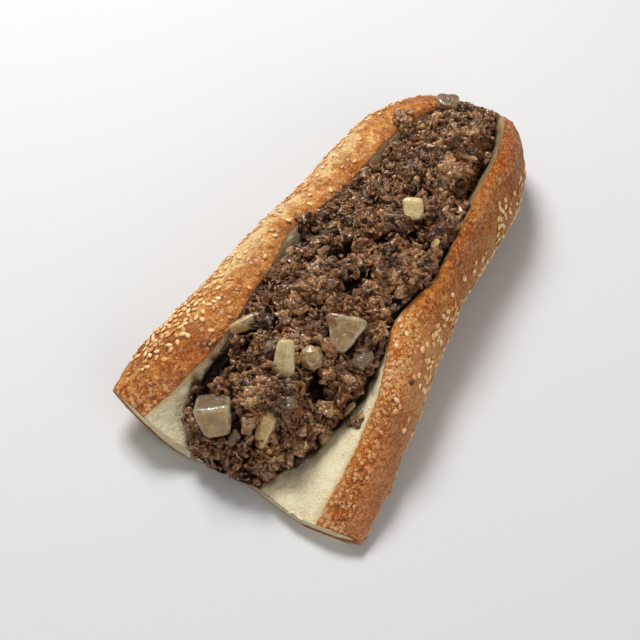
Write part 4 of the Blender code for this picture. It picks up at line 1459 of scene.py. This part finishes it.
def add_shapes(name, foot, normal, radius, flat, rings, lifted, crumple, curl_by, seed, lighter=0.0):
    """Crumpled shapes of given radii, each standing on its foot point along the normal there. rings
    says how many rows and columns each has, flat its least and most height as shares of the radius,
    lifted how high its middle is as a share of the radius, and lighter is added to its tone."""
    count = len(radius)
    radii = np.stack([radius * chance.uniform(0.95, 1.4, count), radius * chance.uniform(0.65, 1.0, count),
                      radius * chance.uniform(*flat, count)], -1)
    curl = chance.uniform(-curl_by, curl_by, count)
    shape, crease, fibres = crumpled(radii, *rings, curl, crumple, seed)
    lean = np.arccos(np.clip(normal[:, 2], -1, 1)) * 0.8 + chance.normal(0, 0.42, count)
    spin = chance.uniform(0, 2 * math.pi, count)
    shape = turned(shape, spin, lean, np.arctan2(normal[:, 1], normal[:, 0]))
    shape = shape + (normal * (radius * lifted)[:, None])[:, None, None]
    above = (shape * normal[:, None, None]).sum(-1)
    shape = shape + foot[:, None, None]
    y = foot[:, 1]
    tone = chance.uniform(0, 1, count) + 0.16 * rise(40, 75, y) - 0.12 * around_bump(y, 5, 26) + lighter
    # painted light and shade: tone lighter high on each clump and darker low, crease darker near its foot
    tone = tone[:, None, None] + np.clip(0.09 * (above - 1.5), -0.35, 0.3)
    crease = np.clip(crease + 0.85 * rise(1.7, -1.4, above), 0, 1)
    marks = {"crease": crease[:, 1:-1], "tone": tone[:, 1:-1], "fibre": fibres[:, 1:-1],
             "caught": caught(shape[:, 1:-1])}
    add_rings(name, shape[:, 1:-1], shape[:, 0, 0], shape[:, -1, 0], marks, steak)


def seen_places(pairs):
    """Foot points, normals and radii for (pixel, radius) pairs."""
    feet, normals = (np.array(part) for part in zip(*(seen_on_food(pixel) for pixel, _ in pairs)))
    return feet, normals, np.array([radius for _, radius in pairs])


# %% [markdown]
# The biggest clumps are placed first, where the picture shows them. The others follow by chance, from
# large to small, each kind as one piece, and last come the clumps that spilled over the bread.

# %% Clumps on the heap
# Big clumps that the picture shows plainly: pixel and radius in millimetres.
BIG_CLUMPS = (
    ((262, 395), 7.5), ((283, 410), 6.0), ((290, 434), 5.5), ((240, 357), 4.6), ((232, 452), 4.8),
    ((262, 462), 5.6), ((315, 424), 4.6), ((338, 392), 5.0), ((313, 291), 6.6), ((280, 281), 5.6),
    ((412, 272), 6.4), ((437, 229), 5.4), ((446, 174), 6.6), ((405, 181), 5.4), ((371, 196), 5.6),
    ((470, 134), 7.0), ((425, 141), 5.0), ((371, 227), 6.0), ((306, 226), 5.0), ((388, 284), 5.6),
    ((365, 312), 5.6), ((262, 322), 5.2), ((376, 331), 4.4), ((486, 122), 4.8))
# Clumps that spilled over the bread: pixel and radius in millimetres.
SPILLS = (
    ((298, 219), 2.0), ((304, 218), 2.4), ((310, 218), 2.6), ((317, 216), 2.6), ((324, 214), 2.6),
    ((331, 213), 2.6), ((338, 211), 2.6), ((344, 206), 2.2), ((304, 225), 2.4), ((311, 224), 2.6),
    ((318, 222), 2.6), ((326, 220), 2.6), ((334, 218), 2.4), ((390, 147), 2.4), ((385, 153), 2.4),
    ((380, 160), 2.2), ((374, 166), 2.0), ((389, 110), 2.0), ((394, 113), 2.8), ((400, 117), 3.0),
    ((406, 121), 2.8), ((411, 126), 2.6), ((397, 123), 2.6), ((403, 128), 2.8), ((410, 133), 2.4),
    ((386, 107), 1.6), ((408, 115), 2.2), ((416, 134), 2.4), ((404, 136), 2.2), ((412, 382), 1.3),
    ((355, 421), 2.2), ((349, 425), 1.3), ((361, 417), 1.6), ((358, 426), 1.2), ((472, 107), 2.4),
    ((480, 105), 2.2), ((489, 108), 2.4), ((467, 207), 2.6), ((463, 215), 2.8), ((459, 223), 2.8),
    ((456, 231), 2.6), ((453, 239), 2.6), ((490, 156), 2.2), ((487, 162), 2.0))

# Name; least and most radius and how many; spacing; overhang; least and most flatness; rows and
# columns; lift; crumple; curl; seed.
CLUMP_KINDS = (
    ("steak_large", (3.8, 5.4, 26), 0.66, 0.2, (0.6, 0.9), (32, 46), 0.3, 1.4, 0.3, 81),
    ("steak_middling", (2.4, 3.8, 110), 0.60, 0.35, (0.6, 1.0), (19, 28), 0.55, 1.2, 0.3, 87),
    ("steak_more", (2.4, 3.8, 110), 0.60, 0.35, (0.6, 1.0), (19, 28), 0.55, 1.2, 0.3, 88),
    ("steak_slices", (2.6, 4.6, 70), 0.56, 0.3, (0.28, 0.45), (18, 28), 0.6, 1.0, 0.6, 93),
    ("steak_small", (1.2, 2.4, 420), 0.5, 0.8, (0.7, 1.0), (11, 16), 0.8, 1.1, 0.4, 99))

big_feet, big_normals, big_radii = seen_places(BIG_CLUMPS)
taken_places = [(*foot, radius) for foot, radius in zip(big_feet, big_radii)]
add_shapes("steak_big", big_feet, big_normals, big_radii, (0.6, 0.85), (44, 64), 0.2, 1.5, 0.2, 80)
for part, sizes, spacing, overhang, flat, rings, lifted, crumple, curl_by, seed in CLUMP_KINDS:
    add_clumps(part, chance.uniform(*sizes), spacing, overhang, flat, rings, lifted, crumple, curl_by, seed)
add_shapes("steak_spilled", *seen_places(SPILLS), (0.4, 0.7), (18, 26), 0.6, 1.3, 0.4, 105, 0.3)

# %% [markdown]
# A shred is a short strip with a flattened round section, carried along a curved path that arches out
# of the heap and dips back into it. A crumb is a very small clump. Both are repeated hundreds of
# times, so each has only a few dozen faces. One longer, pale fibre stands free of the heap.

# %% Shreds and crumbs
SHRED_ROWS, SHRED_COLUMNS = 9, 6
SHRED_RADIUS = 3.2    # what a shred counts as when it must not cover onion
SHRED_PIT = 2.2    # shreds start no deeper than this below the mound
CRUMB_ROWS, CRUMB_COLUMNS = 4, 6
STRAND_SEEN, STRAND_LIFT = (346, 241), 5.2    # pixel it rises from, and height over the core
STRAND_SIZE = (12.0, 1.0, 0.8, 1.2, 0.7, 0.5)    # length, width, thickness, arch, sway, twist
STRAND_TURN, STRAND_TONE = 2.05, 1.5


def by_shape(values):
    """One number for each shape, ready to meet its rows and columns."""
    return values[:, None, None]


def strips(length, wide, thick, arch, sway, twist, seed):
    """Strips along X: the path arches as 1 - t^2 and sways as a sine, the section is an ellipse that
    turns on its way and closes towards the ends."""
    t = np.linspace(-1, 1, SHRED_ROWS + 2)[None, :, None]
    around = (np.arange(SHRED_COLUMNS) / SHRED_COLUMNS * 2 * math.pi)[None, None]
    lot = by_shape(np.arange(len(length)) * 3.1)
    x = by_shape(length) / 2 * t * np.ones_like(around)
    middle_y = by_shape(sway) * np.sin(t * 2.4 + lot) * np.ones_like(around)
    middle_z = by_shape(arch) * (1 - t**2) * np.ones_like(around)
    closing = np.sqrt(np.clip(1 - t**4, 0, 1)) * (1 + 0.3 * np.sin(t * 7 + lot))
    turn = by_shape(twist) * t + lot
    y = by_shape(wide) / 2 * np.cos(around) * closing
    z = by_shape(thick) / 2 * np.sin(around) * closing
    side, up = np.cos(turn) * y - np.sin(turn) * z, np.sin(turn) * y + np.cos(turn) * z
    shape = np.stack([x, middle_y + side, middle_z + up], -1)
    return shape + 0.22 * drift(shape + lot[..., None] * 7, 1.6, seed), np.stack([x, y, z], -1)


def lifted_feet(count, least_edge, lift):
    """Random places on the mound at least so far from its edge, raised along the normal there."""
    rows, columns = np.nonzero((to_edge > least_edge) & (pit < SHRED_PIT))
    pick = chance.integers(0, len(rows), count)
    row, column = rows[pick], columns[pick]
    normal = core_normals[row, column]
    foot = core_top[row, column] + normal * chance.uniform(*lift, count)[:, None]
    from_pits = np.hypot(*(deep_pits[:, :2] - foot[:, None, :2]).transpose(2, 0, 1))
    over = from_pits < deep_pits[:, 2] * 0.9
    clear = ~covers_onion(foot, np.full(count, SHRED_RADIUS)) & ~over.any(1)
    return foot[clear], normal[clear]


def add_strips(name, shape, fibre, crease, tones):
    """Finished strips as one piece, with one depth of crease, painted as shade, for all and a tone for
    each.
    """
    rings = shape[:, 1:-1]
    even = np.ones(rings.shape[:3])
    marks = {"crease": crease * even, "fibre": fibre[:, 1:-1] + rings, "tone": by_shape(tones) * even}
    add_rings(name, rings, shape[:, 0].mean(1), shape[:, -1].mean(1), marks, steak)


def add_shreds(name, count, lengths, widths, thicknesses, lift, tones, seed):
    """Loose strips of meat over the heap, with the least and most of their sizes."""
    foot, normal = lifted_feet(count, 2.5, lift)
    count = len(foot)
    shape, fibre = strips(chance.uniform(*lengths, count), chance.uniform(*widths, count),
                          chance.uniform(*thicknesses, count), chance.uniform(0.2, 2.2, count),
                          chance.uniform(-1.6, 1.6, count), chance.uniform(-1.6, 1.6, count), seed)
    lean = np.arccos(np.clip(normal[:, 2], -1, 1)) * 0.8 + chance.normal(0, 0.35, count)
    spin = chance.uniform(0, 2 * math.pi, count)
    shape = turned(shape, spin, lean, np.arctan2(normal[:, 1], normal[:, 0])) + foot[:, None, None]
    add_strips(name, shape, fibre, 0.1, chance.uniform(*tones, count))


def add_crumbs(name, count, seed):
    """Meat as fine as grains of rice."""
    foot, normal = lifted_feet(count, 0.3, (0.8, 4.2))
    count = len(foot)
    radius = chance.uniform(0.5, 1.3, count)
    way = ball(CRUMB_ROWS, CRUMB_COLUMNS)[None]
    lot = (np.arange(count) * 5.3)[:, None, None, None]
    lumpy = 1 + 0.55 * waves(way * 1.6 + lot, 1.0, seed)[..., None]
    shape = way * radius[:, None, None, None] * np.array((1.25, 0.9, 0.75)) * lumpy
    shape = turned(shape, chance.uniform(0, 2 * math.pi, count), chance.normal(0, 0.8, count),
                   chance.uniform(0, 2 * math.pi, count)) + foot[:, None, None]
    rings = shape[:, 1:-1]
    even = np.ones(rings.shape[:3])
    marks = {"crease": 0.12 * even, "fibre": rings,
             "tone": by_shape(chance.uniform(0, 1.1, count)) * even}
    add_rings(name, rings, shape[:, 0, 0], shape[:, -1, 0], marks, steak)


add_shreds("steak_shreds", 480, (4.0, 9.0), (1.5, 3.4), (1.0, 1.9), (1.2, 4.7), (0.2, 1.1), 111)
add_shreds("steak_fibres", 520, (2.5, 7.0), (0.5, 1.1), (0.4, 0.8), (1.2, 4.8), (0.3, 1.15), 113)
add_crumbs("steak_crumbs", 850, 112)


def add_strand():
    """The one long pale fibre that stands free of the heap, pointing up the picture."""
    foot, normal = seen_on_food(STRAND_SEEN)
    shape, fibre = strips(*(np.array((value,)) for value in STRAND_SIZE), 131)
    shape = turned(shape, np.array((STRAND_TURN,)), np.zeros(1), np.zeros(1))
    add_strips("steak_strand", shape + foot + normal * STRAND_LIFT, fibre, 0.0, np.array((STRAND_TONE,)))


add_strand()

# %% [markdown]
# ## Sesame seeds
#
# A sesame seed is a flat drop about 3.4 mm long. The baker rolled this loaf's side in them, so they
# crowd along its outer left side, are sparse on top and lie in a row low on the right. Each point of
# the crust's grid has a chance that follows that, and a seed is kept if it isn't too close to another.
# A few single seeds that catch the eye are put where the picture shows them.

# %% Seeds
SEED_LENGTH, SEED_WIDTH, SEED_THICKNESS = 3.4, 2.3, 0.85
SEED_ROWS, SEED_COLUMNS = 5, 7
SEEDS_WANTED, SEEDS_TRIED = 780, 3400
SEED_LIFT = 0.28
SEEDS_SEEN = ((315, 215), (398, 400), (401, 407), (396, 413), (406, 333))    # pixels of single seeds
SEED_GOLDS = ((0.0, shade(196, 134, 72)), (0.35, shade(230, 176, 108)), (1.0, shade(252, 216, 162)))


def seed_chance():
    """How likely a seed is at each point of the crust: bands along both sides, broken into clusters."""
    y = roll_surface[..., 1]
    clusters = np.clip(0.35 + 1.6 * waves(roll_surface, 14.0, 121), 0.02, 1.6)
    left = (around_bump(down, 0.73, 0.16) * (0.35 + clusters)
            + 0.3 * around_bump(down, 1.2, 0.25) * clusters + 0.02 * around_bump(down, 0.35, 0.3))
    crowd = around_bump(y, -68, 15) * around_bump(down, 0.56, 0.19) * 1.6
    left = left * (0.12 + 0.88 * rise(-98, -78, y)) * (y > -104)
    right = 0.75 * around_bump(down, 0.80, 0.14) * rise(-80, -40, y) * rise(95, 60, y)
    edge_row = 1.3 * around_bump(down, 1.13, 0.06)
    likely = np.where(is_left, left + crowd, right * clusters + edge_row)
    lengthways, around = np.gradient(roll_surface, axis=(0, 1))
    area = np.linalg.norm(np.cross(lengthways, around), axis=-1)
    return np.where(is_crust & (down < 1.7), likely * area, 0.0)


def seed_shape():
    """A flat drop along X: its half width is sin(pi t)^0.6 and narrows towards its point."""
    t = np.linspace(0, 1, SEED_ROWS + 2)[:, None]
    around = (np.arange(SEED_COLUMNS) / SEED_COLUMNS * 2 * math.pi)[None]
    half = np.sin(math.pi * t)**0.6 * (1 - 0.30 * t) * 1.15
    x = (t - 0.5) * SEED_LENGTH * np.ones_like(around)
    y = half * SEED_WIDTH / 2 * np.cos(around)
    return np.stack([x, y, half * SEED_THICKNESS / 2 * np.sin(around)], -1)


def seed_finish():
    """Cream to toasted gold, each seed by its own tone, with a faint sheen."""
    hull = Finish("sesame")
    tone, fine = hull.mark("tone"), hull.noise(1.1, 2.0, 0.6)
    colour = hull.ramp(tone + (fine - 0.5) * 0.5, SEED_GOLDS)
    hull.set(Base_Color=colour, Roughness=0.42, Specular_IOR_Level=0.45, Normal=hull.bump(fine, 0.1),
             Subsurface_Weight=0.15, Subsurface_Radius=(1.0, 0.7, 0.4), Subsurface_Scale=0.0008)
    return hull.material


def add_seeds():
    """Picks places by chance, keeps those that are clear, and lays a turned seed flat on each."""
    likely = seed_chance().ravel()
    picks = chance.choice(likely.size, SEEDS_TRIED, replace=False, p=likely / likely.sum())
    points, normals = roll_surface.reshape(-1, 3)[picks], roll_outward.reshape(-1, 3)[picks]
    kept = []
    for number, point in enumerate(points):
        if not kept or np.linalg.norm(points[kept] - point, axis=1).min() > SEED_WIDTH * 0.95:
            kept.append(number)
        if len(kept) == SEEDS_WANTED:
            break
    extra = [seen_on_food(pixel) for pixel in SEEDS_SEEN]
    points = np.concatenate([points[kept], [place[0] for place in extra]])
    normals = np.concatenate([normals[kept], [place[1] for place in extra]])
    count = len(points)
    size = chance.uniform(0.85, 1.12, count)[:, None, None, None]
    shape = seed_shape()[None] * size
    spin = chance.uniform(0, 2 * math.pi, count)
    along_loaf = np.array((0.0, 1.0, 0.0)) + chance.normal(0, 0.25, (count, 3))
    ahead = along_loaf - normals * (along_loaf * normals).sum(-1, keepdims=True)
    ahead /= np.linalg.norm(ahead, axis=-1, keepdims=True)
    side = np.cross(normals, ahead)
    c, s = np.cos(spin)[:, None], np.sin(spin)[:, None]
    ahead, side = c * ahead + s * side, -s * ahead + c * side
    shape = (shape[..., :1] * ahead[:, None, None] + shape[..., 1:2] * side[:, None, None]
             + shape[..., 2:] * normals[:, None, None] + (points + normals * SEED_LIFT)[:, None, None])
    rings = shape[:, 1:-1]
    tone = by_shape(chance.uniform(0, 1, count)) * np.ones(rings.shape[:3])
    add_rings("sesame_seeds", rings, shape[:, 0, 0], shape[:, -1, 0], {"tone": tone}, seed_finish())


add_seeds()

# %% [markdown]
# ## Measuring and finishing
#
# The box of everything shown is printed beside the box of the plain solids, so the two can be compared.
# The looks may stand out a little past the solids, but not much.

# %% Size and finish
solids_low, solids_high = solids_box
shown_low, shown_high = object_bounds()
sizes = {"cad": [list(solids_low), list(solids_high)], "visual": [list(shown_low), list(shown_high)]}
print("solids:", [round((b - a) / MM, 1) for a, b in zip(*sizes["cad"])],
      "shown:", [round((b - a) / MM, 1) for a, b in zip(*sizes["visual"])])
